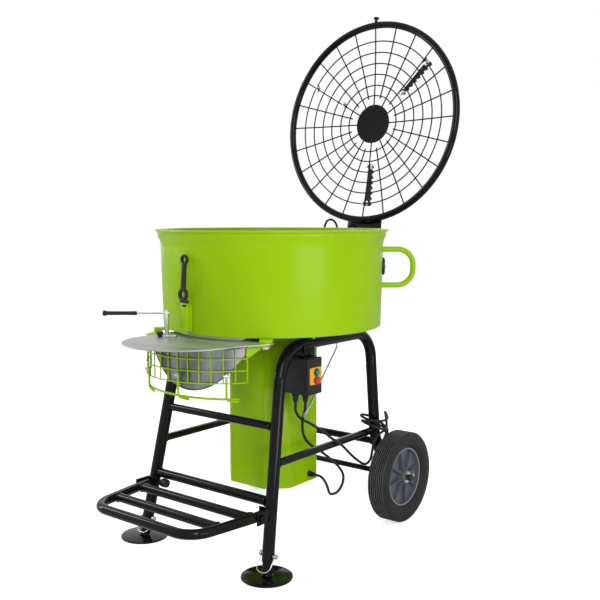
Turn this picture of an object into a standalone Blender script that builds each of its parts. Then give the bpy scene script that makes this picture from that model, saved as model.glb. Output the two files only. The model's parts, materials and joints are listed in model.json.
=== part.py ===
"""Upright pan concrete mixer on a two-wheeled tube frame, modelled as an assembly of separate solids.

Metres, +Z up. The machine faces -Y: discharge and bucket rack in front, wheels and lid hinge behind.
The frame is laid out from the drum axis and the floor, and the finished assembly is moved so that
its origin is the middle of its footprint.
"""
import math

import bmesh
import bpy
from mathutils import Matrix, Vector

# Clearances
GAP = 0.0003
HOLE_GAP = 0.0003

# Drum
DRUM_RADIUS = 0.375
DRUM_BASE_RADIUS = 0.367
DRUM_HEIGHT = 0.322
DRUM_BASE_Z = 0.707
DRUM_WALL = 0.004
FLANGE_OVERHANG = 0.016
FLANGE_THICKNESS = 0.006
BEAD_OVERHANG = 0.009
BEAD_TOP_DROP = 0.010
BEAD_HEIGHT = 0.024
FLOOR_THICKNESS = 0.006
OUTLET_EDGE = 0.028
OUTLET_DEPTH = 0.150
OUTLET_HALF_ANGLE = math.radians(24)

# Rotor
SHAFT_RADIUS = 0.020
SHAFT_DEPTH_IN_GEARBOX = 0.080
SHAFT_DEPTH_IN_HUB = 0.090
HUB_RADIUS = 0.070
HUB_HEIGHT = 0.150
HUB_CROWN_RADIUS = 0.032
ARM_RADIUS = 0.013
ARM_HEIGHT_ABOVE_FLOOR = 0.115
ARM_BEND = 0.030
PADDLE_REACH = (0.300, 0.235, 0.170)
PADDLE_LENGTH = 0.100
PADDLE_HEIGHT = 0.065
PADDLE_THICKNESS = 0.008
PADDLE_CLEARANCE = 0.003

# Drive and its housing
GEARBOX_RADIUS = 0.092
GEARBOX_HEIGHT = 0.135
MOTOR_RADIUS = 0.080
MOTOR_LENGTH = 0.290
HOUSING_HALF = 0.135
HOUSING_CHAMFER = 0.062
HOUSING_HEIGHT = 0.532
HOUSING_SHEET = 0.0025
VENT_LENGTH = 0.120
VENT_WIDTH = 0.010
VENT_PITCH = 0.028
VENT_COUNT = 5

# Tube frame
TUBE_RADIUS = 0.019
TUBE_WALL = 0.0025
FOOT_X = 0.270
FOOT_Y = -0.351
LEG_LEAN_X = -0.0711
LEG_LEAN_Y = 0.1946
LEG_END_Z = 0.045
SADDLE_HEIGHT = 0.018
SADDLE_LENGTH = 0.050
SADDLE_WIDTH = 0.030
SADDLE_YS = (-0.080, 0.150)
FRONT_BEND = 0.120
REAR_BEND = 0.085
REAR_LEG_Y = 0.262
REAR_KINK_Z = 0.310
REAR_KINK_BEND = 0.060
LEG_PAST_AXLE = 0.035
BAR_RADIUS = 0.0125
FRONT_BAR_HIGH_Z = 0.434
FRONT_BAR_LOW_Z = 0.215
SIDE_BAR_Z = 0.325
REAR_BAR_Z = 0.280

# Wheels
WHEEL_RADIUS = 0.158
WHEEL_X = 0.3175
TYRE_WIDTH = 0.058
TYRE_BULGE = 0.024
TYRE_SHOULDER = 0.011
RIM_RADIUS = 0.103
RIM_WIDTH = 0.044
RIM_FLANGE = 0.007
WEB_THICKNESS = 0.006
WEB_OFFSET = 0.004
HUB_TUBE_RADIUS = 0.022
HUB_TUBE_HALF = 0.030
AXLE_RADIUS = 0.010
AXLE_Y = 0.318
CAP_RADIUS = 0.021
CAP_LENGTH = 0.022

# Feet
FOOT_PLATE_RADIUS = 0.078
FOOT_PLATE_THICKNESS = 0.006
FOOT_TUBE_TOP_Z = 0.240
FOOT_BORE_TOP_Z = 0.300
FOOT_TRAVEL = 0.080
FOOT_PIN_Z = 0.064
FOOT_PIN_RADIUS = 0.004
FOOT_PIN_HALF = 0.030
BAIL_RADIUS = 0.002
BAIL_DROP = 0.044
BAIL_REACH = 0.032
BAIL_BEND = 0.012

# Bucket rack
RACK_Z = 0.185
RACK_HINGE_Y = -0.370
RACK_FRONT_Y = -0.606
RACK_FRONT_HALF = 0.2125
RACK_TUBE_RADIUS = 0.013
RACK_BEND = 0.074
RACK_ARM_TAIL = 0.018
RACK_SLAT_RADIUS = 0.0115
RACK_SLAT_YS = (-0.3895, -0.5030)
RACK_EAR_THICKNESS = 0.005
RACK_EAR_X = 0.265
RACK_EAR_HEIGHT = 0.040
RACK_EAR_NOSE = 0.018
RACK_PIN_RADIUS = 0.005
RACK_PIN_HALF = 0.030

# Lid
LID_RADIUS = 0.375
LID_TUBE_RADIUS = 0.013
LID_SEAT_GAP = 0.001
LID_OPEN = math.radians(96.45)
LID_HINGE_Y = 0.465
LID_HINGE_DROP = 0.066
LID_DOME = 0.027
LID_WIRE = 0.0055
LID_RING_SHARES = (0.310, 0.482, 0.660, 0.838)
LID_SPOKES = 24
LID_DISC_RADIUS = 0.075
LID_DISC_THICKNESS = 0.005
BLADE_ANGLES = (47.0, 180.0, 300.0)
BLADE_INNER = 0.156
BLADE_OUTER = 0.322
BLADE_HEIGHT = 0.030
BLADE_THICKNESS = 0.004
BLADE_TEETH = 8
BLADE_TOOTH_DEPTH = 0.007
STUD_RADIUS = 0.006
STUD_LENGTH = 0.017
STUD_HEAD_RADIUS = 0.011
HINGE_PLATE_HALF = 0.078
HINGE_PLATE_THICKNESS = 0.005
HINGE_PLATE_FRONT_Y = 0.366
HINGE_CHEEK_X = 0.034
HINGE_CHEEK_THICKNESS = 0.006
HINGE_CHEEK_FRONT_Y = 0.418
HINGE_EYE_RADIUS = 0.015
HINGE_EYE_START = math.radians(-135)
HINGE_EYE_STEPS = 5
HINGE_PIN_RADIUS = 0.006
HINGE_PIN_HALF = 0.060
BRACKET_CHEEK_X = 0.042
BRACKET_CHEEK_THICKNESS = 0.006
BRACKET_HEIGHT = 0.070
BRACKET_BACK = 0.006
BRACKET_EYE_START = math.radians(-60)

# Lid switch and its lead
LID_SWITCH_SIZE = (0.030, 0.028, 0.056)
LID_SWITCH_X = 0.082
LID_SWITCH_Z = 0.960
LID_SWITCH_EDGE = 0.003
LID_LEAD_RADIUS = 0.003
LID_LEAD_OFF_WALL = 0.0045
LID_LEAD_SWING = 0.060
LID_LEAD_DROP = 0.018

# Loop handles
HANDLE_ANGLE = math.radians(50)
HANDLE_TUBE_RADIUS = 0.0085
HANDLE_REACH = 0.481
HANDLE_TOP_Z = 0.967
HANDLE_LOW_Z = 0.838
HANDLE_BEND = 0.045
HANDLE_BEND_STEPS = 5

# Rubber strap that holds the lid down
STRAP_ANGLE = math.radians(-4)
STRAP_HEIGHT = 0.146
STRAP_THICKNESS = 0.010
STRAP_EYE_RADIUS = 0.021
STRAP_EYE_STEPS = 14
STRAP_HOLE_RADIUS = 0.0084
STRAP_WAIST_HALF = 0.0095
STRAP_STAND_OFF = 0.011
STRAP_KNUCKLE_HALF = 0.016
STRAP_BRACKET_TOP_Z = 0.806
STRAP_BRACKET_HEIGHT = 0.096
STRAP_BRACKET_HALF = 0.011
STRAP_BRACKET_EDGE = 0.002

# Discharge gate
GATE_PIVOT = (0.234, -0.309)
GATE_PLATE_THICKNESS = 0.004
GATE_NOSE_CENTRE = (0.018, -0.425)
GATE_NOSE_RADIUS = 0.192
GATE_NOSE_STEPS = 18
GATE_REAR_RADIUS = 0.168
GATE_REAR_RIGHT = math.radians(-52)
GATE_REAR_LEFT = math.radians(-140)
GATE_REAR_STEPS = 10
GATE_LEFT_X = -0.166
GATE_SHOULDER = 0.030
GATE_EYE_RADIUS = 0.024
GATE_EYE_START = math.radians(-40)
GATE_EYE_END = math.radians(110)
GATE_PIN_RADIUS = 0.006
GATE_PIN_HEAD = 0.010
GATE_PIN_HEAD_RADIUS = 0.011
LEVER_BASE = (-0.092, -0.402)
LEVER_HEIGHT = 0.084
LEVER_WIDTH = 0.022
LEVER_THICKNESS = 0.006
LEVER_ROD_RADIUS = 0.003
LEVER_ROD_DROP = 0.010
LEVER_ROD_LENGTH = 0.186
LEVER_ROD_ANGLE = math.radians(38.2)
GRIP_LENGTH = 0.106
GRIP_RADIUS = 0.0064
GRIP_FLARE = 0.0088
GRIP_ROD_END = 0.012
GRIP_LIP = 0.005
GRIP_NECK = 0.014
GRIP_COLLAR = 0.010

# Guard round the discharge
GUARD_CENTRE_Y = -0.243
GUARD_RADIUS = 0.241
GUARD_HALF_ANGLE = math.radians(60)
GUARD_WIRE = 0.0045
GUARD_CELLS = 14
GUARD_ROWS = 3
GUARD_ROW_PITCH = 0.0350
GUARD_STRAP_THICKNESS = 0.005
GUARD_STRAP_WIDTH = 0.030
LUG_THICKNESS = 0.009
LUG_WIDTH = 0.040
LUG_LENGTH = 0.080
LUG_SPACER_RADIUS = 0.013
APRON_ANGLE = math.radians(20)
APRON_HALF_ANGLE = math.radians(41)
APRON_DEPTH = 0.116
APRON_EDGE = 0.014
APRON_SHEET = 0.002
APRON_STEPS = 20
HOOP_DROP = 0.037
HOOP_RADIUS = 0.004
HOOP_ROD_RADIUS = 0.0032
HOOP_HALF_ANGLE = math.radians(54)
HOOP_ROD_ANGLES = (-25.0, 10.0, 45.0)

# Switch box
BOX_SIZE = (0.097, 0.073, 0.116)
BOX_FRONT_X = 0.271
BOX_CENTRE_Y = -0.1153
BOX_TOP_Z = 0.6305
BOX_WALL = 0.003
BOX_EDGE = 0.006
BOX_HANGER_SIZE = (0.034, 0.052)
BOX_HANGER_OFFSET = 0.006
BOX_HANGER_SHIFT = 0.006
PANEL_SIZE = (0.003, 0.059, 0.054)
PANEL_Z = 0.5745
PANEL_EDGE = 0.001
BUTTON_RADIUS = 0.009
BUTTON_Y = -0.1137
START_Z = 0.586
STOP_Z = 0.5605
BUTTON_PROUD = 0.008
STOP_PROUD = 0.011
BUTTON_DEPTH = 0.012
CONTACTOR_SIZE = (0.050, 0.046, 0.070)
CONTACTOR_EDGE = 0.002
GLAND_RADIUS = 0.0105
GLAND_LENGTH = 0.030
MAINS_GLAND = (0.206, -0.133)
MOTOR_GLAND = (0.230, -0.113)

# Rod that holds the leads off the frame
STAY_RADIUS = 0.003
STAY_TOP = (0.224, 0.066)
STAY_POINTS = (
    (0.232, -0.030, 0.545),
    (0.2465, -0.100, 0.486),
    (0.2465, -0.139, 0.448),
)

# Leads
LEAD_RADIUS = 0.0045
COIL_RADIUS = 0.0455
COIL_PITCH = 0.0204
COIL_TURNS = 2
COIL_END_ANGLE = math.radians(45)
COIL_STEPS = 24
LOW_TURN_PASSES = 0.75
HOUSING_ENTRY_YZ = (0.030, 0.200)
MAINS_ROUTE = (
    (0.206, -0.131, 0.461),
    (0.212, -0.100, 0.438),
    (0.226, -0.062, 0.408),
    (0.241, -0.038, 0.373),
    (0.256, -0.004, 0.348),
    (0.271, 0.034, 0.319),
    (0.274, 0.094, 0.270),
    (0.276, 0.150, 0.233),
    (0.277, 0.182, 0.224),
    (0.279, 0.205, 0.237),
    (0.281, 0.213, 0.262),
    (0.285, 0.219, 0.294),
    (0.2895, 0.237, 0.3195),
)
PLUG_TAIL = (
    (0.262, 0.3095, 0.379),
    (0.247, 0.329, 0.375),
    (0.238, 0.348, 0.357),
    (0.235, 0.359, 0.331),
)
PLUG_TOP = (0.235, 0.361, 0.300)
PLUG_RADIUS = 0.024
PLUG_LENGTH = 0.100
MOTOR_ROUTE = (
    (0.229, -0.114, 0.458),
    (0.223, -0.118, 0.425),
    (0.217, -0.107, 0.378),
    (0.210, -0.066, 0.336),
    (0.207, 0.000, 0.296),
    (0.204, 0.061, 0.255),
    (0.200, 0.114, 0.214),
    (0.194, 0.150, 0.172),
    (0.187, 0.150, 0.138),
    (0.181, 0.118, 0.121),
    (0.177, 0.082, 0.131),
    (0.178, 0.050, 0.160),
    (0.176, 0.033, 0.192),
)

# Facets of round pieces
TUBE_SIDES = 8
FRAME_SIDES = 12
BAR_SIDES = 12
PIN_SIDES = 12
WIRE_SIDES = 6
LID_RING_SIDES = 8
ROUND_STEPS = 16
TURNED_STEPS = 24
FOOT_STEPS = 32
DRUM_STEPS = 48
WHEEL_STEPS = 24
BEND_STEPS = 4
END_STEPS = 8
ROUTE_STEPS = 12

# Worked out from the sizes above
DRUM_TOP_Z = DRUM_BASE_Z + DRUM_HEIGHT
FLOOR_TOP_Z = DRUM_BASE_Z + FLOOR_THICKNESS
TOP_TUBE_Z = DRUM_BASE_Z - SADDLE_HEIGHT - TUBE_RADIUS
AXLE_Z = WHEEL_RADIUS
LID_Z = DRUM_TOP_Z + LID_SEAT_GAP + LID_TUBE_RADIUS
LID_HINGE_Z = LID_Z - LID_HINGE_DROP
LID_INNER = LID_RADIUS - LID_TUBE_RADIUS
BOX_BASE_Z = BOX_TOP_Z - BOX_SIZE[2]
BOX_CENTRE_X = BOX_FRONT_X - BOX_SIZE[0] / 2
HOUSING_TOP_Z = DRUM_BASE_Z - GAP
HOUSING_BASE_Z = HOUSING_TOP_Z - HOUSING_HEIGHT
LUG_TOP_Z = DRUM_BASE_Z - GAP
GATE_TOP_Z = LUG_TOP_Z - LUG_THICKNESS - GAP
GATE_BASE_Z = GATE_TOP_Z - GATE_PLATE_THICKNESS
GUARD_STRAP_TOP_Z = GATE_BASE_Z - GAP
GUARD_STRAP_BASE_Z = GUARD_STRAP_TOP_Z - GUARD_STRAP_THICKNESS
GUARD_TOP_Z = GUARD_STRAP_BASE_Z + GUARD_STRAP_THICKNESS / 2
GUARD_HEIGHT = GUARD_ROWS * GUARD_ROW_PITCH + GUARD_WIRE
GUARD_BASE_Z = GUARD_TOP_Z - GUARD_HEIGHT

for old in list(bpy.data.objects):
    bpy.data.objects.remove(old, do_unlink=True)

PARTS = bpy.data.collections.new("concrete_mixer")
CUTTERS = bpy.data.collections.new("cutters")
bpy.context.scene.collection.children.link(PARTS)
bpy.context.scene.collection.children.link(CUTTERS)


def material(name, colour, roughness, metallic):
    """One plain Principled material."""
    made = bpy.data.materials.new(name)
    made.use_nodes = True
    shader = made.node_tree.nodes["Principled BSDF"]
    shader.inputs["Base Color"].default_value = (*colour, 1.0)
    shader.inputs["Roughness"].default_value = roughness
    shader.inputs["Metallic"].default_value = metallic
    return made


GREEN = material("green_powder_coat", (0.33, 0.60, 0.012), 0.35, 0.0)
BLACK = material("black_powder_coat", (0.012, 0.012, 0.013), 0.35, 0.0)
STEEL = material("bare_steel", (0.45, 0.45, 0.45), 0.35, 1.0)
ZINC = material("zinc_plate", (0.62, 0.62, 0.60), 0.30, 1.0)
RUBBER = material("black_rubber", (0.020, 0.020, 0.021), 0.75, 0.0)
PLASTIC = material("black_plastic", (0.016, 0.016, 0.017), 0.50, 0.0)
RIM_GREY = material("rim_grey", (0.125, 0.140, 0.170), 0.50, 0.0)
YELLOW = material("yellow_plate", (0.95, 0.42, 0.02), 0.45, 0.0)
START_GREEN = material("start_green", (0.0, 0.30, 0.16), 0.40, 0.0)
STOP_RED = material("stop_red", (0.64, 0.03, 0.045), 0.40, 0.0)
CAST_IRON = material("cast_iron", (0.10, 0.10, 0.11), 0.60, 0.6)


def pivot(name, place, parent=None):
    """An empty on a joint's axis."""
    empty = bpy.data.objects.new(name, None)
    empty.location = Vector(place) - (parent.location if parent else Vector())
    empty.parent = parent
    PARTS.objects.link(empty)
    empty["place"] = tuple(place)
    return empty


ROOT = pivot("mixer", (0.0, 0.0, 0.0))


def finish(obj, finish_material, parent=None, smooth_angle=35.0):
    """Puts a piece in the parts collection, under the pivot that carries it."""
    carrier = parent or ROOT
    obj.data.materials.clear()
    obj.data.materials.append(finish_material)
    obj.data.shade_smooth()
    obj.data.set_sharp_from_angle(angle=math.radians(smooth_angle))
    obj.parent = carrier
    obj.matrix_parent_inverse = Matrix.Translation(-Vector(carrier["place"]))
    PARTS.objects.link(obj)
    return obj


def from_bmesh(name, bm):
    """Turns a bmesh into an object that isn't in a collection yet."""
    mesh = bpy.data.meshes.new(name)
    bm.to_mesh(mesh)
    bm.free()
    return bpy.data.objects.new(name, mesh)


def block(name, size, centre, turn=Matrix(), edge=0.0):
    """A box, with rounded edges where asked."""
    bm = bmesh.new()
    bmesh.ops.create_cube(bm, size=1.0)
    bmesh.ops.scale(bm, vec=size, verts=bm.verts)
    if edge:
        bmesh.ops.bevel(bm, geom=bm.edges[:], offset=edge, segments=2, profile=0.5, affect="EDGES")
    bmesh.ops.transform(bm, matrix=Matrix.Translation(centre) @ turn, verts=bm.verts)
    return from_bmesh(name, bm)


def rod(name, start, end, radius, sides=16, end_radius=None):
    """A round bar or cone between two points."""
    start, end = Vector(start), Vector(end)
    along = end - start
    bm = bmesh.new()
    bmesh.ops.create_cone(
        bm,
        cap_ends=True,
        segments=sides,
        radius1=radius,
        radius2=radius if end_radius is None else end_radius,
        depth=along.length,
    )
    turn = along.to_track_quat("Z", "Y").to_matrix().to_4x4()
    bmesh.ops.transform(bm, matrix=Matrix.Translation((start + end) / 2) @ turn, verts=bm.verts)
    return from_bmesh(name, bm)


def turned(name, profile, steps, place=Matrix()):
    """A profile of (radius, height) points from its top, down the outside, turned about +Z."""
    bm = bmesh.new()
    verts = [bm.verts.new((radius, 0.0, height)) for radius, height in profile]
    closed = all(radius > 0 for radius, height in profile)
    pairs = list(zip(verts, verts[1:] + verts[:1])) if closed else list(zip(verts, verts[1:]))
    edges = [bm.edges.new(pair) for pair in pairs]
    bmesh.ops.spin(
        bm, geom=verts + edges, cent=(0, 0, 0), axis=(0, 0, 1), angle=math.tau, steps=steps, use_merge=True
    )
    bmesh.ops.remove_doubles(bm, verts=bm.verts, dist=1e-6)
    bmesh.ops.recalc_face_normals(bm, faces=bm.faces)
    bmesh.ops.transform(bm, matrix=place, verts=bm.verts)
    return from_bmesh(name, bm)


def curve_to_object(name, curve):
    """Makes a closed mesh object of a curve, with its caps welded."""
    holder = bpy.data.objects.new(name + "_path", curve)
    bpy.context.scene.collection.objects.link(holder)
    bpy.context.view_layer.update()
    evaluated = holder.evaluated_get(bpy.context.evaluated_depsgraph_get())
    mesh = bpy.data.meshes.new_from_object(evaluated)
    mesh.name = name
    bpy.data.objects.remove(holder, do_unlink=True)
    bm = bmesh.new()
    bm.from_mesh(mesh)
    bmesh.ops.remove_doubles(bm, verts=bm.verts, dist=1e-6)
    bmesh.ops.recalc_face_normals(bm, faces=bm.faces)
    bm.to_mesh(mesh)
    bm.free()
    return bpy.data.objects.new(name, mesh)


def tube(name, points, radius, sides=TUBE_SIDES, cyclic=False):
    """A round tube along a list of points."""
    curve = bpy.data.curves.new(name, "CURVE")
    curve.dimensions = "3D"
    curve.bevel_depth = radius
    curve.bevel_resolution = (sides - 4) // 2
    curve.use_fill_caps = True
    spline = curve.splines.new("POLY")
    spline.points.add(len(points) - 1)
    for point, place in zip(spline.points, points):
        point.co = (*place, 1.0)
    spline.use_cyclic_u = cyclic
    return curve_to_object(name, curve)


def plate(name, outline, thickness, place=Matrix(), holes=()):
    """A flat plate on XY from its outline and holes, centred on its thickness."""
    curve = bpy.data.curves.new(name, "CURVE")
    curve.dimensions = "2D"
    curve.fill_mode = "BOTH"
    curve.extrude = thickness / 2
    for ring in (outline, *holes):
        spline = curve.splines.new("POLY")
        spline.points.add(len(ring) - 1)
        for point, (x, y) in zip(spline.points, ring):
            point.co = (x, y, 0.0, 1.0)
        spline.use_cyclic_u = True
    made = curve_to_object(name, curve)
    made.data.transform(place)
    return made


def arc(centre, radius, start, end, steps):
    """Points of a plane arc between two angles."""
    return [
        (
            centre[0] + radius * math.cos(start + (end - start) * i / steps),
            centre[1] + radius * math.sin(start + (end - start) * i / steps),
        )
        for i in range(steps + 1)
    ]


def rounded(points, bends, steps=6):
    """A path through straight runs, with an arc of the given radius at each inner point."""
    points = [Vector(p) for p in points]
    path = [points[0]]
    for before, corner, after, bend in zip(points, points[1:], points[2:], bends):
        back = (before - corner).normalized()
        ahead = (after - corner).normalized()
        half = back.angle(ahead) / 2
        centre = corner + (back + ahead).normalized() * bend / math.sin(half)
        start = corner + back * bend / math.tan(half) - centre
        end = corner + ahead * bend / math.tan(half) - centre
        sweep = start.angle(end)
        for i in range(steps + 1):
            t = i / steps
            mixed = start * math.sin((1 - t) * sweep) + end * math.sin(t * sweep)
            path.append(centre + mixed / math.sin(sweep))
    path.append(points[-1])
    return path


def smooth_route(points, spacing):
    """Points read at an even spacing from a smooth curve through a cord's own points."""
    points = [Vector(p) for p in points]
    padded = [2 * points[0] - points[1], *points, 2 * points[-1] - points[-2]]
    fine = []
    for a, b, c, d in zip(padded, padded[1:], padded[2:], padded[3:]):
        for i in range(ROUTE_STEPS):
            t = i / ROUTE_STEPS
            square = (2 * a - 5 * b + 4 * c - d) * t**2
            cube = (3 * b - a - 3 * c + d) * t**3
            fine.append((2 * b + (c - a) * t + square + cube) / 2)
    fine.append(points[-1])
    length = sum((q - p).length for p, q in zip(fine, fine[1:]))
    count = max(2, round(length / spacing))
    step = length / count
    route = [fine[0]]
    walked = 0.0
    for p, q in zip(fine, fine[1:]):
        run = (q - p).length
        while len(route) < count and walked + run >= step * len(route):
            route.append(p.lerp(q, (step * len(route) - walked) / run))
        walked += run
    route.append(fine[-1])
    return route


def operand(obj):
    """Hides a shape that only cuts or joins another."""
    CUTTERS.objects.link(obj)
    obj.hide_render = True
    obj.display_type = "WIRE"
    obj.parent = ROOT
    return obj


def combine(obj, other, operation):
    """Cuts or joins a piece with another shape before it is placed."""
    bpy.context.scene.collection.objects.link(obj)
    bpy.context.scene.collection.objects.link(other)
    step = obj.modifiers.new("combine", "BOOLEAN")
    step.object = other
    step.operation = operation
    step.solver = "EXACT"
    bpy.context.view_layer.update()
    evaluated = obj.evaluated_get(bpy.context.evaluated_depsgraph_get())
    mesh = bpy.data.meshes.new_from_object(evaluated)
    obj.modifiers.clear()
    obj.data = mesh
    bpy.context.scene.collection.objects.unlink(obj)
    bpy.context.scene.collection.objects.unlink(other)
    operand(other)
    return obj


def cut(obj, *cutters):
    """Takes each cutter's shape out of a piece."""
    for cutter in cutters:
        combine(obj, cutter, "DIFFERENCE")
    return obj


def join(obj, *others):
    """Welds other shapes to a piece."""
    for other in others:
        combine(obj, other, "UNION")
    return obj


def drum_outer(z):
    """Outer radius of the drum wall at a height."""
    share = (z - DRUM_BASE_Z) / DRUM_HEIGHT
    return DRUM_BASE_RADIUS + (DRUM_RADIUS - DRUM_BASE_RADIUS) * share


def drum_widest(low, high):
    """Largest outer radius of the drum wall between two heights."""
    return max(drum_outer(low), drum_outer(high))


def drum_facet(low, high, heading):
    """Largest radius of the faceted drum wall between two heights, along a heading from +X."""
    facet = math.tau / DRUM_STEPS
    return drum_widest(low, high) * math.cos(facet / 2) / math.cos(heading % facet - facet / 2)


def around(angle_from_front, radius, z, centre_y=0.0):
    """A point round a vertical axis on the middle plane, with the angle from the front towards +X."""
    return Vector((radius * math.sin(angle_from_front), centre_y - radius * math.cos(angle_from_front), z))


def leg_point(side, z):
    """A point on a front leg's axis."""
    return Vector((side * (FOOT_X + LEG_LEAN_X * z), FOOT_Y + LEG_LEAN_Y * z, z))


def frame_x(z):
    """Distance of a side frame's plane from the middle at a height."""
    return FOOT_X + LEG_LEAN_X * z


def rear_leg_y(z):
    """Middle of a rear leg at a height."""
    if z >= REAR_KINK_Z:
        return REAR_LEG_Y
    return REAR_LEG_Y + (AXLE_Y - REAR_LEG_Y) * (REAR_KINK_Z - z) / (REAR_KINK_Z - AXLE_Z)


def build_drum():
    """The drum shell and its floor with the discharge opening."""
    bead_top = DRUM_TOP_Z - BEAD_TOP_DROP
    bead_low = bead_top - BEAD_HEIGHT
    bead_r = DRUM_RADIUS + BEAD_OVERHANG
    flange_r = DRUM_RADIUS + FLANGE_OVERHANG
    profile = [
        (DRUM_RADIUS - DRUM_WALL, DRUM_TOP_Z),
        (flange_r, DRUM_TOP_Z),
        (flange_r, DRUM_TOP_Z - FLANGE_THICKNESS),
        (DRUM_RADIUS, bead_top),
        (bead_r, bead_top - BEAD_HEIGHT * 0.25),
        (bead_r, bead_top - BEAD_HEIGHT * 0.75),
        (drum_outer(bead_low), bead_low),
        (DRUM_BASE_RADIUS, DRUM_BASE_Z),
        (DRUM_BASE_RADIUS - DRUM_WALL, DRUM_BASE_Z),
    ]
    finish(turned("drum_shell", profile, DRUM_STEPS), GREEN)

    floor_r = DRUM_BASE_RADIUS - DRUM_WALL - GAP
    floor_mid = Matrix.Translation((0, 0, DRUM_BASE_Z + FLOOR_THICKNESS / 2))
    front = -math.pi / 2
    outlet_r = floor_r - OUTLET_EDGE
    outlet = arc((0, 0), outlet_r, front - OUTLET_HALF_ANGLE, front + OUTLET_HALF_ANGLE, END_STEPS)
    outlet_r -= OUTLET_DEPTH
    outlet += arc((0, 0), outlet_r, front + OUTLET_HALF_ANGLE, front - OUTLET_HALF_ANGLE, END_STEPS)
    rim = arc((0, 0), floor_r, 0, math.tau, DRUM_STEPS)[:-1]
    shaft_hole = arc((0, 0), SHAFT_RADIUS + HOLE_GAP, 0, math.tau, TURNED_STEPS)[:-1]
    finish(plate("drum_floor", rim, FLOOR_THICKNESS, floor_mid, (shaft_hole, outlet)), STEEL)


def build_drive():
    """Gearbox, motor and the sheet housing round them."""
    gear_top = DRUM_BASE_Z - GAP
    gear_base = gear_top - GEARBOX_HEIGHT
    bore_base = gear_top - SHAFT_DEPTH_IN_GEARBOX
    bore_radius = SHAFT_RADIUS + HOLE_GAP
    gearbox = turned(
        "gearbox",
        [
            (0.0, gear_top),
            (GEARBOX_RADIUS, gear_top),
            (GEARBOX_RADIUS, gear_top - 0.12 * GEARBOX_HEIGHT),
            (GEARBOX_RADIUS * 0.9, gear_top - 0.2 * GEARBOX_HEIGHT),
            (GEARBOX_RADIUS * 0.9, gear_base),
            (0.0, gear_base),
        ],
        TURNED_STEPS,
    )
    bore = rod("gearbox_bore", (0, 0, bore_base), (0, 0, gear_top + GAP), bore_radius, TURNED_STEPS)
    finish(cut(gearbox, bore), CAST_IRON)

    motor_top = gear_base - GAP
    motor_base = motor_top - MOTOR_LENGTH
    finish(
        turned(
            "motor",
            [
                (0.0, motor_top),
                (MOTOR_RADIUS, motor_top),
                (MOTOR_RADIUS, motor_base + 0.1 * MOTOR_LENGTH),
                (MOTOR_RADIUS * 0.85, motor_base),
                (0.0, motor_base),
            ],
            TURNED_STEPS,
        ),
        CAST_IRON,
    )

    def octagon(half, chamfer):
        corners = ((half, half - chamfer), (half - chamfer, half))
        quarter = [Vector(c) for c in corners]
        turns = [Matrix.Rotation(math.radians(90 * i), 2) for i in range(4)]
        return [tuple(t @ c) for t in turns for c in quarter]

    inner_half = HOUSING_HALF - HOUSING_SHEET
    inner_chamfer = HOUSING_CHAMFER - HOUSING_SHEET * (2 - math.sqrt(2))
    shell_mid = Matrix.Translation((0, 0, HOUSING_BASE_Z + HOUSING_HEIGHT / 2))
    hollow_mid = Matrix.Translation((0, 0, HOUSING_BASE_Z + HOUSING_SHEET + HOUSING_HEIGHT / 2))
    housing = plate("motor_housing", octagon(HOUSING_HALF, HOUSING_CHAMFER), HOUSING_HEIGHT, shell_mid)
    hollow = plate("housing_hollow", octagon(inner_half, inner_chamfer), HOUSING_HEIGHT, hollow_mid)
    cut(housing, hollow)
    for i in range(VENT_COUNT):
        y = (i - (VENT_COUNT - 1) / 2) * VENT_PITCH
        vent_size = (VENT_LENGTH, VENT_WIDTH, 4 * HOUSING_SHEET)
        cut(housing, block(f"vent_{i}", vent_size, (0, y, HOUSING_BASE_Z)))
    finish(housing, GREEN, smooth_angle=20)


def gland_profile():
    """Section of a cable gland, its seat at zero and its cable end below."""
    return [
        (0.0, 0.0),
        (GLAND_RADIUS, 0.0),
        (GLAND_RADIUS, -0.4 * GLAND_LENGTH),
        (GLAND_RADIUS * 0.85, -0.45 * GLAND_LENGTH),
        (GLAND_RADIUS * 0.85, -0.8 * GLAND_LENGTH),
        (LEAD_RADIUS * 1.2, -GLAND_LENGTH),
        (0.0, -GLAND_LENGTH),
    ]


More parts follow.
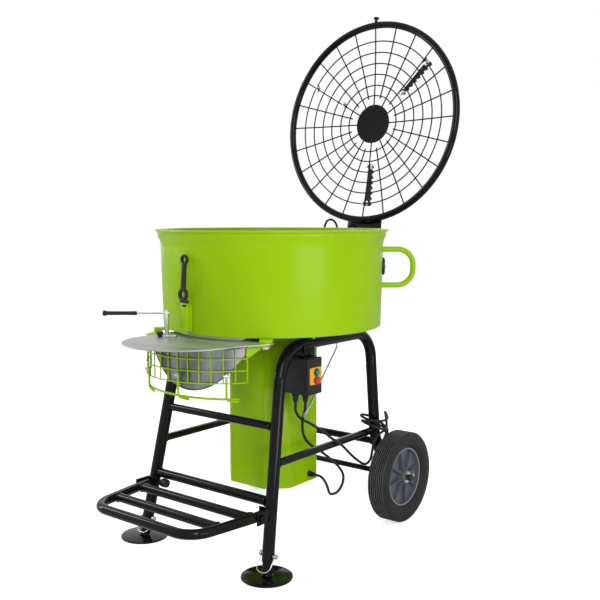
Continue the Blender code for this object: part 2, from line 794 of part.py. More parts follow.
def build_rotor():
    """Shaft, hub and three bent arms with their paddles, which turn together."""
    rotor = pivot("rotor", (0, 0, FLOOR_TOP_Z), ROOT)
    shaft_base = DRUM_BASE_Z - GAP - SHAFT_DEPTH_IN_GEARBOX + GAP
    hub_base = FLOOR_TOP_Z + PADDLE_CLEARANCE
    shaft_top = hub_base + SHAFT_DEPTH_IN_HUB
    shaft_ends = (0, 0, shaft_base), (0, 0, shaft_top)
    finish(rod("rotor_shaft", *shaft_ends, SHAFT_RADIUS, TURNED_STEPS), STEEL, rotor)

    hub_top = hub_base + HUB_HEIGHT
    hub = turned(
        "rotor_hub",
        [
            (0.0, hub_top),
            (HUB_CROWN_RADIUS, hub_top),
            (HUB_RADIUS, hub_top - 0.25 * HUB_HEIGHT),
            (HUB_RADIUS, hub_base),
            (0.0, hub_base),
        ],
        TURNED_STEPS,
    )
    bore_ends = (0, 0, hub_base - GAP), (0, 0, shaft_top + GAP)
    hub_bore = rod("hub_bore", *bore_ends, SHAFT_RADIUS + HOLE_GAP, TURNED_STEPS)
    finish(cut(hub, hub_bore), STEEL, rotor)

    arm_z = FLOOR_TOP_Z + ARM_HEIGHT_ABOVE_FLOOR
    paddle_base = FLOOR_TOP_Z + PADDLE_CLEARANCE
    paddle_top = paddle_base + PADDLE_HEIGHT
    for i, reach in enumerate(PADDLE_REACH):
        turn = Matrix.Rotation(math.tau * i / len(PADDLE_REACH), 4, "Z")
        corners = [(HUB_RADIUS + GAP, 0, arm_z), (reach, 0, arm_z), (reach, 0, paddle_top - ARM_RADIUS)]
        arm = tube(f"rotor_arm_{i + 1}", rounded(corners, [ARM_BEND]), ARM_RADIUS)
        size = (PADDLE_LENGTH, PADDLE_THICKNESS, PADDLE_HEIGHT)
        join(arm, block("paddle", size, (reach, 0, paddle_base + PADDLE_HEIGHT / 2)))
        arm.data.transform(turn)
        finish(arm, STEEL, rotor)


def build_side_frames():
    """Two bent tubes, each a front leg, a bearer and a rear leg, with its side bar and drum saddles."""
    for side, label in ((1, "right"), (-1, "left")):
        axle_end_z = AXLE_Z - LEG_PAST_AXLE
        corners = [
            leg_point(side, LEG_END_Z),
            leg_point(side, TOP_TUBE_Z),
            (side * frame_x(TOP_TUBE_Z), REAR_LEG_Y, TOP_TUBE_Z),
            (side * frame_x(REAR_KINK_Z), REAR_LEG_Y, REAR_KINK_Z),
            (side * frame_x(axle_end_z), rear_leg_y(axle_end_z), axle_end_z),
        ]
        path = rounded(corners, [FRONT_BEND, REAR_BEND, REAR_KINK_BEND], BEND_STEPS)
        frame = tube(f"side_frame_{label}", path, TUBE_RADIUS, FRAME_SIDES)
        bar_x = side * frame_x(SIDE_BAR_Z)
        bar_front = (bar_x, leg_point(side, SIDE_BAR_Z).y, SIDE_BAR_Z)
        bar_rear = (bar_x, rear_leg_y(SIDE_BAR_Z), SIDE_BAR_Z)
        join(frame, rod(f"side_bar_{label}", bar_front, bar_rear, BAR_RADIUS, TUBE_SIDES))
        saddle_tall = DRUM_BASE_Z - GAP - TOP_TUBE_Z
        for y in SADDLE_YS:
            centre = (side * frame_x(TOP_TUBE_Z), y, TOP_TUBE_Z + saddle_tall / 2)
            join(frame, block("saddle", (SADDLE_WIDTH, SADDLE_LENGTH, saddle_tall), centre))
        if side > 0:
            hanger_base = BOX_TOP_Z + GAP
            hanger_size = (*BOX_HANGER_SIZE, TOP_TUBE_Z - hanger_base)
            hanger_x = frame_x(TOP_TUBE_Z) + BOX_HANGER_OFFSET
            hanger_mid = (hanger_x, BOX_CENTRE_Y + BOX_HANGER_SHIFT, (TOP_TUBE_Z + hanger_base) / 2)
            join(frame, block("switch_hanger", hanger_size, hanger_mid))
        below = leg_point(side, LEG_END_Z - TUBE_RADIUS)
        above = leg_point(side, FOOT_BORE_TOP_Z)
        bore = rod(f"leg_bore_{label}", below, above, TUBE_RADIUS - TUBE_WALL, ROUND_STEPS)
        pin_hole = foot_pin_rod(f"pin_hole_{label}", side, FOOT_PIN_RADIUS + HOLE_GAP, 2 * TUBE_RADIUS)
        axle_x = frame_x(AXLE_Z)
        axle_hole = rod(
            f"axle_hole_{label}",
            (side * (axle_x - 2 * TUBE_RADIUS), AXLE_Y, AXLE_Z),
            (side * (axle_x + 2 * TUBE_RADIUS), AXLE_Y, AXLE_Z),
            AXLE_RADIUS + HOLE_GAP,
        )
        finish(cut(frame, bore, pin_hole, axle_hole), BLACK)


def foot_pin_rod(name, side, radius, half):
    """A round bar across a front leg where its locking pin goes."""
    middle = leg_point(side, FOOT_PIN_Z)
    reach = Vector((half, 0, 0))
    return rod(name, middle - reach, middle + reach, radius, PIN_SIDES)


def build_crossbars():
    """Straight bars welded between the side frames' legs."""
    lean = Vector((0, LEG_LEAN_Y, 1)).length
    for z, name in ((FRONT_BAR_HIGH_Z, "front_bar_upper"), (FRONT_BAR_LOW_Z, "front_bar_lower")):
        reach = frame_x(z) - TUBE_RADIUS * lean - GAP
        y = leg_point(1, z).y
        finish(rod(name, (-reach, y, z), (reach, y, z), BAR_RADIUS, BAR_SIDES), BLACK)

    rear_reach = frame_x(REAR_BAR_Z) - TUBE_RADIUS * lean - GAP
    rear_y = rear_leg_y(REAR_BAR_Z)
    rear_ends = (-rear_reach, rear_y, REAR_BAR_Z), (rear_reach, rear_y, REAR_BAR_Z)
    finish(rod("rear_bar", *rear_ends, BAR_RADIUS, BAR_SIDES), BLACK)


def build_wheels():
    """Axle with its end caps, and on each end a rim and a tyre."""
    cap_x = WHEEL_X + HUB_TUBE_HALF + GAP
    half_axle = [
        (CAP_RADIUS * 0.7, cap_x + CAP_LENGTH),
        (CAP_RADIUS, cap_x + CAP_LENGTH * 0.6),
        (CAP_RADIUS, cap_x),
        (AXLE_RADIUS, cap_x),
    ]
    axle_profile = [(0.0, half_axle[0][1]), *half_axle]
    axle_profile += [(r, -x) for r, x in reversed(axle_profile)]
    across = Matrix.Translation((0, AXLE_Y, AXLE_Z)) @ Matrix.Rotation(math.radians(90), 4, "Y")
    finish(turned("axle", axle_profile, ROUND_STEPS, across), BLACK)
    half_tyre = TYRE_WIDTH / 2
    half_rim = RIM_WIDTH / 2
    bore = AXLE_RADIUS + HOLE_GAP
    rim_profile = [
        (RIM_RADIUS - RIM_FLANGE, half_rim),
        (RIM_RADIUS, half_rim),
        (RIM_RADIUS, -half_rim),
        (RIM_RADIUS - RIM_FLANGE, -half_rim),
        (RIM_RADIUS - RIM_FLANGE, WEB_OFFSET - WEB_THICKNESS),
        (HUB_TUBE_RADIUS, WEB_OFFSET - WEB_THICKNESS),
        (HUB_TUBE_RADIUS, -HUB_TUBE_HALF),
        (bore, -HUB_TUBE_HALF),
        (bore, HUB_TUBE_HALF),
        (HUB_TUBE_RADIUS, HUB_TUBE_HALF),
        (HUB_TUBE_RADIUS, WEB_OFFSET),
        (RIM_RADIUS - RIM_FLANGE, WEB_OFFSET),
    ]
    seat = RIM_RADIUS + GAP
    tyre_profile = [
        (seat, half_rim),
        (RIM_RADIUS + TYRE_BULGE, half_tyre),
        (WHEEL_RADIUS - TYRE_SHOULDER, half_tyre - TYRE_SHOULDER / 4),
        (WHEEL_RADIUS, half_tyre - 1.5 * TYRE_SHOULDER),
        (WHEEL_RADIUS, -half_tyre + 1.5 * TYRE_SHOULDER),
        (WHEEL_RADIUS - TYRE_SHOULDER, -half_tyre + TYRE_SHOULDER / 4),
        (RIM_RADIUS + TYRE_BULGE, -half_tyre),
        (seat, -half_rim),
    ]
    for side, label in ((1, "right"), (-1, "left")):
        centre = Vector((side * WHEEL_X, AXLE_Y, AXLE_Z))
        wheel = pivot(f"wheel_{label}", centre, ROOT)
        outward = Matrix.Rotation(math.radians(90 * side), 4, "Y")
        at_wheel = Matrix.Translation(centre) @ outward
        finish(turned(f"wheel_rim_{label}", rim_profile, WHEEL_STEPS, at_wheel), RIM_GREY, wheel)
        finish(turned(f"tyre_{label}", tyre_profile, WHEEL_STEPS, at_wheel), RUBBER, wheel)


def build_feet():
    """Round foot plates on inner tubes that slide in the front legs, and their locking pins."""
    inner_radius = TUBE_RADIUS - TUBE_WALL - HOLE_GAP
    for side, label in ((1, "right"), (-1, "left")):
        foot = pivot(f"foot_{label}", leg_point(side, 0.0), ROOT)
        disc = rod(
            f"foot_plate_{label}",
            (side * FOOT_X, FOOT_Y, 0.0),
            (side * FOOT_X, FOOT_Y, FOOT_PLATE_THICKNESS),
            FOOT_PLATE_RADIUS,
            FOOT_STEPS,
        )
        stem_start = leg_point(side, FOOT_PLATE_THICKNESS * 0.8)
        stem_end = leg_point(side, FOOT_TUBE_TOP_Z)
        stem = rod(f"foot_stem_{label}", stem_start, stem_end, inner_radius, ROUND_STEPS)
        axis = (leg_point(side, 1.0) - leg_point(side, 0.0)).normalized()
        slot_width = 2 * (FOOT_PIN_RADIUS + HOLE_GAP)
        slot_skew = 2 * inner_radius * abs(LEG_LEAN_X)
        slot_length = FOOT_TRAVEL + slot_width + 2 * slot_skew
        slot_turn = axis.to_track_quat("Z", "X").to_matrix().to_4x4()
        slot_mid = leg_point(side, FOOT_PIN_Z) + axis * FOOT_TRAVEL / 2
        size = (4 * inner_radius, slot_width, slot_length)
        local_x = slot_turn.inverted() @ Vector((1, 0, 0))
        across = Matrix.Rotation(math.atan2(local_x.y, local_x.x), 4, "Z")
        slot = block(f"foot_slot_{label}", size, slot_mid, slot_turn @ across)
        finish(cut(join(disc, stem), slot), BLACK, foot)

        pin = foot_pin_rod(f"foot_pin_{label}", side, FOOT_PIN_RADIUS, FOOT_PIN_HALF)
        middle = leg_point(side, FOOT_PIN_Z)
        arm = FOOT_PIN_HALF - FOOT_PIN_RADIUS
        bow = [
            middle + Vector((-arm, 0, 0)),
            middle + Vector((-arm, -BAIL_REACH, -BAIL_DROP)),
            middle + Vector((arm, -BAIL_REACH, -BAIL_DROP)),
            middle + Vector((arm, 0, 0)),
        ]
        bow = rounded(bow, [BAIL_BEND, BAIL_BEND], BEND_STEPS)
        bail = tube(f"foot_bail_{label}", bow, BAIL_RADIUS, WIRE_SIDES)
        finish(join(pin, bail), ZINC)


def rack_arm_x(y):
    """Middle of a rack arm at a distance along the rack."""
    arm_x = RACK_EAR_X - RACK_EAR_THICKNESS / 2 - GAP - RACK_TUBE_RADIUS
    share = (y - RACK_HINGE_Y) / (RACK_FRONT_Y - RACK_HINGE_Y)
    return arm_x + (RACK_FRONT_HALF - arm_x) * max(share, 0.0)


def build_rack():
    """Folding bucket rest: a bent tube with two slats, on ears welded to the front legs."""
    rack = pivot("rack", (0, RACK_HINGE_Y, RACK_Z), ROOT)
    tail_y = RACK_HINGE_Y + RACK_ARM_TAIL
    corners = [
        (rack_arm_x(tail_y), tail_y, RACK_Z),
        (rack_arm_x(RACK_HINGE_Y), RACK_HINGE_Y - RACK_ARM_TAIL, RACK_Z),
        (RACK_FRONT_HALF, RACK_FRONT_Y, RACK_Z),
        (-RACK_FRONT_HALF, RACK_FRONT_Y, RACK_Z),
        (-rack_arm_x(RACK_HINGE_Y), RACK_HINGE_Y - RACK_ARM_TAIL, RACK_Z),
        (-rack_arm_x(tail_y), tail_y, RACK_Z),
    ]
    bends = [RACK_BEND, RACK_BEND, RACK_BEND, RACK_BEND]
    frame = tube("rack_frame", rounded(corners, bends, BEND_STEPS), RACK_TUBE_RADIUS)
    for side in (1, -1):
        x = rack_arm_x(RACK_HINGE_Y)
        ends = (side * (x - 2 * RACK_TUBE_RADIUS), RACK_HINGE_Y, RACK_Z)
        ends = ends, (side * (x + 2 * RACK_TUBE_RADIUS), RACK_HINGE_Y, RACK_Z)
        cut(frame, rod("rack_eye", *ends, RACK_PIN_RADIUS + HOLE_GAP, PIN_SIDES))
    for y in RACK_SLAT_YS:
        reach = rack_arm_x(y)
        ends = (-reach, y, RACK_Z), (reach, y, RACK_Z)
        join(frame, rod("rack_slat", *ends, RACK_SLAT_RADIUS, BAR_SIDES))
    finish(frame, BLACK, rack)

    for side, label in ((1, "right"), (-1, "left")):
        leg = leg_point(1, RACK_Z)
        off = RACK_EAR_X - leg.x
        low = RACK_Z - RACK_EAR_HEIGHT / 2
        near = off - RACK_EAR_THICKNESS / 2 - abs(LEG_LEAN_X) * RACK_EAR_HEIGHT / 2
        bulge = math.sqrt(TUBE_RADIUS**2 - max(near, 0.0) ** 2) * Vector((0, LEG_LEAN_Y, 1)).length
        back = leg_point(1, low).y - bulge - GAP
        front = RACK_HINGE_Y - RACK_EAR_NOSE
        size = (RACK_EAR_THICKNESS, back - front, RACK_EAR_HEIGHT)
        ear = block(f"rack_ear_{label}", size, (side * RACK_EAR_X, (back + front) / 2, RACK_Z))
        pin_mid = Vector((side * rack_arm_x(RACK_HINGE_Y), RACK_HINGE_Y, RACK_Z))
        pin_half = Vector((RACK_PIN_HALF, 0, 0))
        join(ear, rod("rack_pin", pin_mid - pin_half, pin_mid + pin_half, RACK_PIN_RADIUS, PIN_SIDES))
        finish(ear, BLACK)


def lid_rise(radius):
    """Height of the domed grid above the lid ring's middle."""
    return LID_DOME * (1 - (radius / LID_INNER) ** 2)


def build_lid():
    """Tube ring, domed wire grid, disc, blades, stud and hinge plate, modelled shut and swung open."""
    lid = pivot("lid", (0, LID_HINGE_Y, LID_HINGE_Z), ROOT)

    bm = bmesh.new()
    ring_points = [
        (LID_RADIUS + LID_TUBE_RADIUS * math.cos(a), 0, LID_Z + LID_TUBE_RADIUS * math.sin(a))
        for a in (math.tau * i / LID_RING_SIDES for i in range(LID_RING_SIDES))
    ]
    verts = [bm.verts.new(p) for p in ring_points]
    edges = [bm.edges.new(pair) for pair in zip(verts, verts[1:] + verts[:1])]
    bmesh.ops.spin(bm, geom=verts + edges, axis=(0, 0, 1), angle=math.tau, steps=DRUM_STEPS, use_merge=True)
    bmesh.ops.remove_doubles(bm, verts=bm.verts, dist=1e-6)
    bmesh.ops.recalc_face_normals(bm, faces=bm.faces)
    ring = from_bmesh("lid_ring", bm)
    stud_profile = [
        (0.0, STUD_LENGTH),
        (STUD_HEAD_RADIUS, STUD_LENGTH),
        (STUD_HEAD_RADIUS, STUD_LENGTH * 0.65),
        (STUD_RADIUS, STUD_LENGTH * 0.65),
        (STUD_RADIUS, -LID_TUBE_RADIUS),
        (0.0, -LID_TUBE_RADIUS),
    ]
    stud_seat = Vector((0, -LID_RADIUS - LID_TUBE_RADIUS, LID_Z))
    outward = Matrix.Translation(stud_seat) @ Matrix.Rotation(math.radians(90), 4, "X")
    join(ring, turned("lid_stud", stud_profile, PIN_SIDES, outward))
    finish(ring, BLACK, lid, 60)

    bm = bmesh.new()
    inner = LID_DISC_RADIUS + 2 * GAP
    radii = [inner, *(share * LID_INNER for share in LID_RING_SHARES), LID_INNER - 2 * GAP]
    verts = [bm.verts.new((0, -r, LID_Z + lid_rise(r))) for r in radii]
    edges = [bm.edges.new(pair) for pair in zip(verts, verts[1:])]
    bmesh.ops.spin(bm, geom=verts + edges, axis=(0, 0, 1), angle=math.tau, steps=LID_SPOKES, use_merge=True)
    bmesh.ops.remove_doubles(bm, verts=bm.verts, dist=1e-6)
    step = math.tau / LID_SPOKES
    short = []
    for edge in bm.edges:
        middle = (edge.verts[0].co + edge.verts[1].co) / 2
        angle = math.atan2(middle.x, -middle.y) / step
        radial = abs(edge.verts[0].co.xy.length - edge.verts[1].co.xy.length) > GAP
        if radial and middle.xy.length < radii[1] and round(angle) % 2:
            short.append(edge)
    bmesh.ops.dissolve_edges(bm, edges=short)
    bmesh.ops.recalc_face_normals(bm, faces=bm.faces)
    cells = bm.faces[:]
    bmesh.ops.inset_individual(bm, faces=cells, thickness=LID_WIRE / 2, use_even_offset=True)
    bmesh.ops.delete(bm, geom=cells, context="FACES")
    grid = from_bmesh("lid_grid", bm)
    wall = grid.modifiers.new("wire", "SOLIDIFY")
    wall.thickness = LID_WIRE
    wall.offset = 0.0
    finish(grid, BLACK, lid)

    disc_z = LID_Z + lid_rise(LID_DISC_RADIUS)
    half = LID_DISC_THICKNESS / 2
    disc_ends = (0, 0, disc_z - half), (0, 0, disc_z + half)
    finish(rod("lid_disc", *disc_ends, LID_DISC_RADIUS, LID_SPOKES), BLACK, lid)

    for i, degrees in enumerate(BLADE_ANGLES):
        sag = LID_DOME * ((BLADE_OUTER - BLADE_INNER) / 2 / LID_INNER) ** 2
        lift = LID_WIRE / 2 + sag + GAP
        foot_in = lid_rise(BLADE_INNER) + lift
        foot_out = lid_rise(BLADE_OUTER) + lift
        outline = [(BLADE_INNER, foot_in), (BLADE_OUTER, foot_out)]
        top = foot_in + BLADE_HEIGHT
        pitch = (BLADE_OUTER - BLADE_INNER) / BLADE_TEETH
        for tooth in range(BLADE_TEETH):
            right = BLADE_OUTER - tooth * pitch
            outline.append((right, top - BLADE_TOOTH_DEPTH))
            outline.append((right - pitch / 2, top))
        outline.append((BLADE_INNER, top - BLADE_TOOTH_DEPTH))
        upright = Matrix.Rotation(math.radians(90), 4, "X")
        heading = Matrix.Rotation(math.radians(degrees - 90), 4, "Z")
        place = Matrix.Translation((0, 0, LID_Z)) @ heading @ upright
        finish(plate(f"bag_blade_{i + 1}", outline, BLADE_THICKNESS, place), BLACK, lid)

    plate_base = LID_Z + LID_TUBE_RADIUS + GAP
    cheek_top = plate_base + HINGE_PLATE_THICKNESS / 2
    plate_back = LID_HINGE_Y
    size = (2 * HINGE_PLATE_HALF, plate_back - HINGE_PLATE_FRONT_Y, HINGE_PLATE_THICKNESS)
    centre = (0, (plate_back + HINGE_PLATE_FRONT_Y) / 2, plate_base + HINGE_PLATE_THICKNESS / 2)
    hinge_plate = block("lid_hinge_plate", size, centre)
    eye = arc((LID_HINGE_Y, LID_HINGE_Z), HINGE_EYE_RADIUS, HINGE_EYE_START, 0, HINGE_EYE_STEPS)
    outline = [(HINGE_CHEEK_FRONT_Y, cheek_top), *eye, (LID_HINGE_Y + HINGE_EYE_RADIUS, cheek_top)]
    to_side = Matrix(((0, 0, 1, 0), (1, 0, 0, 0), (0, 1, 0, 0), (0, 0, 0, 1)))
    hole = arc((LID_HINGE_Y, LID_HINGE_Z), HINGE_PIN_RADIUS + HOLE_GAP, 0, math.tau, PIN_SIDES)[:-1]
    for side in (1, -1):
        at_cheek = Matrix.Translation((side * HINGE_CHEEK_X, 0, 0)) @ to_side
        join(hinge_plate, plate(f"cheek_{side}", outline, HINGE_CHEEK_THICKNESS, at_cheek, (hole,)))
    finish(hinge_plate, BLACK, lid)

    lid.rotation_euler = (-LID_OPEN, 0, 0)

    low = LID_HINGE_Z - BRACKET_HEIGHT / 2
    high = LID_HINGE_Z + HINGE_EYE_RADIUS
    back_y = drum_widest(low, high) + GAP
    half_width = BRACKET_CHEEK_X + BRACKET_CHEEK_THICKNESS / 2
    size = (2 * half_width, BRACKET_BACK, high - low)
    bracket = block("drum_hinge_bracket", size, (0, back_y + BRACKET_BACK / 2, (low + high) / 2))
    eye = arc((LID_HINGE_Y, LID_HINGE_Z), HINGE_EYE_RADIUS, BRACKET_EYE_START, math.pi / 2, HINGE_EYE_STEPS)
    root_y = back_y + BRACKET_BACK / 2
    outline = [(root_y, high), (root_y, low), *eye]
    for side in (1, -1):
        at_cheek = Matrix.Translation((side * BRACKET_CHEEK_X, 0, 0)) @ to_side
        join(bracket, plate(f"bracket_cheek_{side}", outline, BRACKET_CHEEK_THICKNESS, at_cheek))
    pin_ends = (-HINGE_PIN_HALF, LID_HINGE_Y, LID_HINGE_Z), (HINGE_PIN_HALF, LID_HINGE_Y, LID_HINGE_Z)
    finish(join(bracket, rod("lid_hinge_pin", *pin_ends, HINGE_PIN_RADIUS, PIN_SIDES)), BLACK)


def build_lid_switch():
    """Safety switch behind the drum, with its moulded lead down to the housing."""
    width, depth, tall = LID_SWITCH_SIZE
    inner_x = LID_SWITCH_X - width / 2
    wall_r = drum_widest(LID_SWITCH_Z - tall / 2, LID_SWITCH_Z + tall / 2)
    wall_y = math.sqrt(wall_r**2 - inner_x**2)
    near_y = wall_y + GAP
    centre = (LID_SWITCH_X, near_y + depth / 2, LID_SWITCH_Z)
    switch = block("lid_switch", LID_SWITCH_SIZE, centre, edge=LID_SWITCH_EDGE)

    def on_wall(z):
        reach = drum_outer(z) + LID_LEAD_OFF_WALL
        return Vector((LID_SWITCH_X, math.sqrt(reach**2 - LID_SWITCH_X**2), z))

    exit_z = LID_SWITCH_Z - tall / 2
    entry_x = (HOUSING_HALF - HOUSING_CHAMFER) / 2
    high_z = exit_z - LID_LEAD_SWING
    low_z = DRUM_BASE_Z + LID_LEAD_SWING / 2
    under_z = DRUM_BASE_Z - LID_LEAD_DROP
    route = [
        (LID_SWITCH_X, near_y + depth / 2, exit_z + LID_LEAD_SWING / 6),
        (LID_SWITCH_X, near_y + depth / 2, exit_z - LID_LEAD_SWING / 3),
        on_wall(high_z),
        on_wall((high_z + low_z) / 2),
        on_wall(low_z),
        on_wall(DRUM_BASE_Z) + Vector((0, LID_LEAD_RADIUS, 0)),
        (LID_SWITCH_X, DRUM_BASE_RADIUS - LID_LEAD_SWING / 2, under_z),
        (LID_SWITCH_X, (DRUM_BASE_RADIUS + HOUSING_HALF) / 2, under_z),
        (entry_x, HOUSING_HALF + LID_LEAD_SWING / 2, under_z),
        (entry_x, HOUSING_HALF + LID_LEAD_SWING / 5, under_z),
        (entry_x, HOUSING_HALF + 3 * GAP, under_z),
    ]
    route = smooth_route(route, 10 * LID_LEAD_RADIUS)
    join(switch, tube("lid_switch_lead", route, LID_LEAD_RADIUS, WIRE_SIDES))
    finish(switch, PLASTIC)


def build_handles():
    """Two loop handles of bent tube on the rear corners of the drum."""
    for side, label in ((1, "right"), (-1, "left")):
        heading = Vector((side * math.sin(HANDLE_ANGLE), math.cos(HANDLE_ANGLE), 0))
        weld = 2 * GAP

        def at(radius, z):
            return heading * radius + Vector((0, 0, z))

        def wall_at(z):
            bearing = math.atan2(heading.y, heading.x)
            return drum_facet(z - HANDLE_TUBE_RADIUS, z + HANDLE_TUBE_RADIUS, bearing)

        corners = [
            at(wall_at(HANDLE_TOP_Z) + weld, HANDLE_TOP_Z),
            at(HANDLE_REACH, HANDLE_TOP_Z),
            at(HANDLE_REACH, HANDLE_LOW_Z),
            at(wall_at(HANDLE_LOW_Z) + weld, HANDLE_LOW_Z),
        ]
        path = rounded(corners, [HANDLE_BEND, HANDLE_BEND], HANDLE_BEND_STEPS)
        finish(tube(f"loop_handle_{label}", path, HANDLE_TUBE_RADIUS), GREEN)


def build_strap():
    """Rubber lid strap on a green channel at the front of the drum."""
    facing = Matrix.Rotation(STRAP_ANGLE, 4, "Z")
    knuckle_r = STRAP_THICKNESS / 2
    axis_z = STRAP_BRACKET_TOP_Z + GAP + knuckle_r
    bracket_base_z = STRAP_BRACKET_TOP_Z - STRAP_BRACKET_HEIGHT
    widest = drum_widest(bracket_base_z, STRAP_BRACKET_TOP_Z + STRAP_HEIGHT)
    strap_r = widest + STRAP_STAND_OFF + STRAP_THICKNESS / 2
    strap = pivot("lid_strap_pivot", around(STRAP_ANGLE, strap_r, axis_z), ROOT)

    eye_z = STRAP_HEIGHT - STRAP_EYE_RADIUS
    neck = math.asin(STRAP_WAIST_HALF / STRAP_EYE_RADIUS)
    upper = arc((0, eye_z), STRAP_EYE_RADIUS, neck - math.pi / 2, 1.5 * math.pi - neck, STRAP_EYE_STEPS)
    low_eye = STRAP_EYE_RADIUS
    lower_start = math.pi / 2 + neck
    side_steps = STRAP_EYE_STEPS // 2
    lower = arc((0, low_eye), STRAP_EYE_RADIUS, lower_start, 1.5 * math.pi - neck, side_steps)
    lower += arc((0, low_eye), STRAP_EYE_RADIUS, 1.5 * math.pi + neck, 2.5 * math.pi - neck, side_steps)
    hole = arc((0, eye_z), STRAP_HOLE_RADIUS, 0, math.tau, PIN_SIDES)[:-1]
    upright = Matrix.Rotation(math.radians(90), 4, "X")
    place = facing @ Matrix.Translation((0, -strap_r, axis_z)) @ upright
    band = plate("lid_strap", upper + lower, STRAP_THICKNESS, place, (hole,))
    across = facing @ Vector((STRAP_KNUCKLE_HALF, 0, 0))
    middle = around(STRAP_ANGLE, strap_r, axis_z)
    knuckle = rod("strap_knuckle", middle - across, middle + across, knuckle_r, PIN_SIDES)
    finish(join(band, knuckle), RUBBER, strap)

    back = -(drum_facet(bracket_base_z, STRAP_BRACKET_TOP_Z, STRAP_ANGLE - math.pi / 2) + GAP)
    front = -(strap_r + STRAP_THICKNESS / 2)
    size = (2 * STRAP_BRACKET_HALF, back - front, STRAP_BRACKET_HEIGHT)
    centre_z = STRAP_BRACKET_TOP_Z - STRAP_BRACKET_HEIGHT / 2
    channel = block("strap_bracket", size, (0, (back + front) / 2, centre_z), edge=STRAP_BRACKET_EDGE)
    channel.data.transform(facing)
    finish(channel, GREEN)


def build_gate():
    """Swinging discharge plate with its lever and grip, on the bolt of the right-hand lug."""
    px, py = GATE_PIVOT
    gate = pivot("gate", (px, py, GATE_BASE_Z), ROOT)
    nose_x, nose_y = GATE_NOSE_CENTRE
    left_turn = math.pi + math.acos(min(1.0, (nose_x - GATE_LEFT_X) / GATE_NOSE_RADIUS))
    nose = arc(GATE_NOSE_CENTRE, GATE_NOSE_RADIUS, left_turn, math.tau, GATE_NOSE_STEPS)
    eye = arc(GATE_PIVOT, GATE_EYE_RADIUS, GATE_EYE_START, GATE_EYE_END, END_STEPS)
    rear = arc((0, 0), GATE_REAR_RADIUS, GATE_REAR_RIGHT, GATE_REAR_LEFT, GATE_REAR_STEPS)
    shoulder = [(GATE_LEFT_X, rear[-1][1] - GATE_SHOULDER)]
    outline = nose + eye + rear + shoulder
    hole = arc(GATE_PIVOT, GATE_PIN_RADIUS + HOLE_GAP, 0, math.tau, ROUND_STEPS)[:-1]
    middle = Matrix.Translation((0, 0, GATE_BASE_Z + GATE_PLATE_THICKNESS / 2))
    finish(plate("gate_plate", outline, GATE_PLATE_THICKNESS, middle, (hole,)), STEEL, gate)

    base_z = GATE_TOP_Z + GAP
    lever_x, lever_y = LEVER_BASE
    turn = Matrix.Rotation(LEVER_ROD_ANGLE, 4, "Z")
    size = (LEVER_THICKNESS, LEVER_WIDTH, LEVER_HEIGHT)
    bar = block("gate_lever", size, (lever_x, lever_y, base_z + LEVER_HEIGHT / 2), turn)
    outward = turn @ Vector((-1, 0, 0))
    rod_z = base_z + LEVER_HEIGHT - LEVER_ROD_DROP
    rod_start = Vector((lever_x, lever_y, rod_z))
    rod_end = rod_start + outward * LEVER_ROD_LENGTH
    finish(join(bar, rod("lever_rod", rod_start, rod_end, LEVER_ROD_RADIUS, PIN_SIDES)), ZINC, gate)

    bore = LEVER_ROD_RADIUS + HOLE_GAP
    grip_profile = [
        (0.0, GRIP_LENGTH),
        (GRIP_FLARE * 0.8, GRIP_LENGTH),
        (GRIP_FLARE, GRIP_LENGTH - GRIP_LIP),
        (GRIP_RADIUS, GRIP_LENGTH - GRIP_NECK),
        (GRIP_RADIUS * 0.9, GRIP_LENGTH * 0.3),
        (GRIP_RADIUS, GRIP_COLLAR),
        (GRIP_RADIUS * 0.9, 0.0),
        (bore, 0.0),
        (bore, GRIP_LENGTH - GRIP_ROD_END + GAP),
        (0.0, GRIP_LENGTH - GRIP_ROD_END + GAP),
    ]
    grip_start = rod_end - outward * (GRIP_LENGTH - GRIP_ROD_END)
    aim = outward.to_track_quat("Z", "Y").to_matrix().to_4x4()
    at_grip = Matrix.Translation(grip_start) @ aim
    finish(turned("gate_grip", grip_profile, ROUND_STEPS, at_grip), PLASTIC, gate)


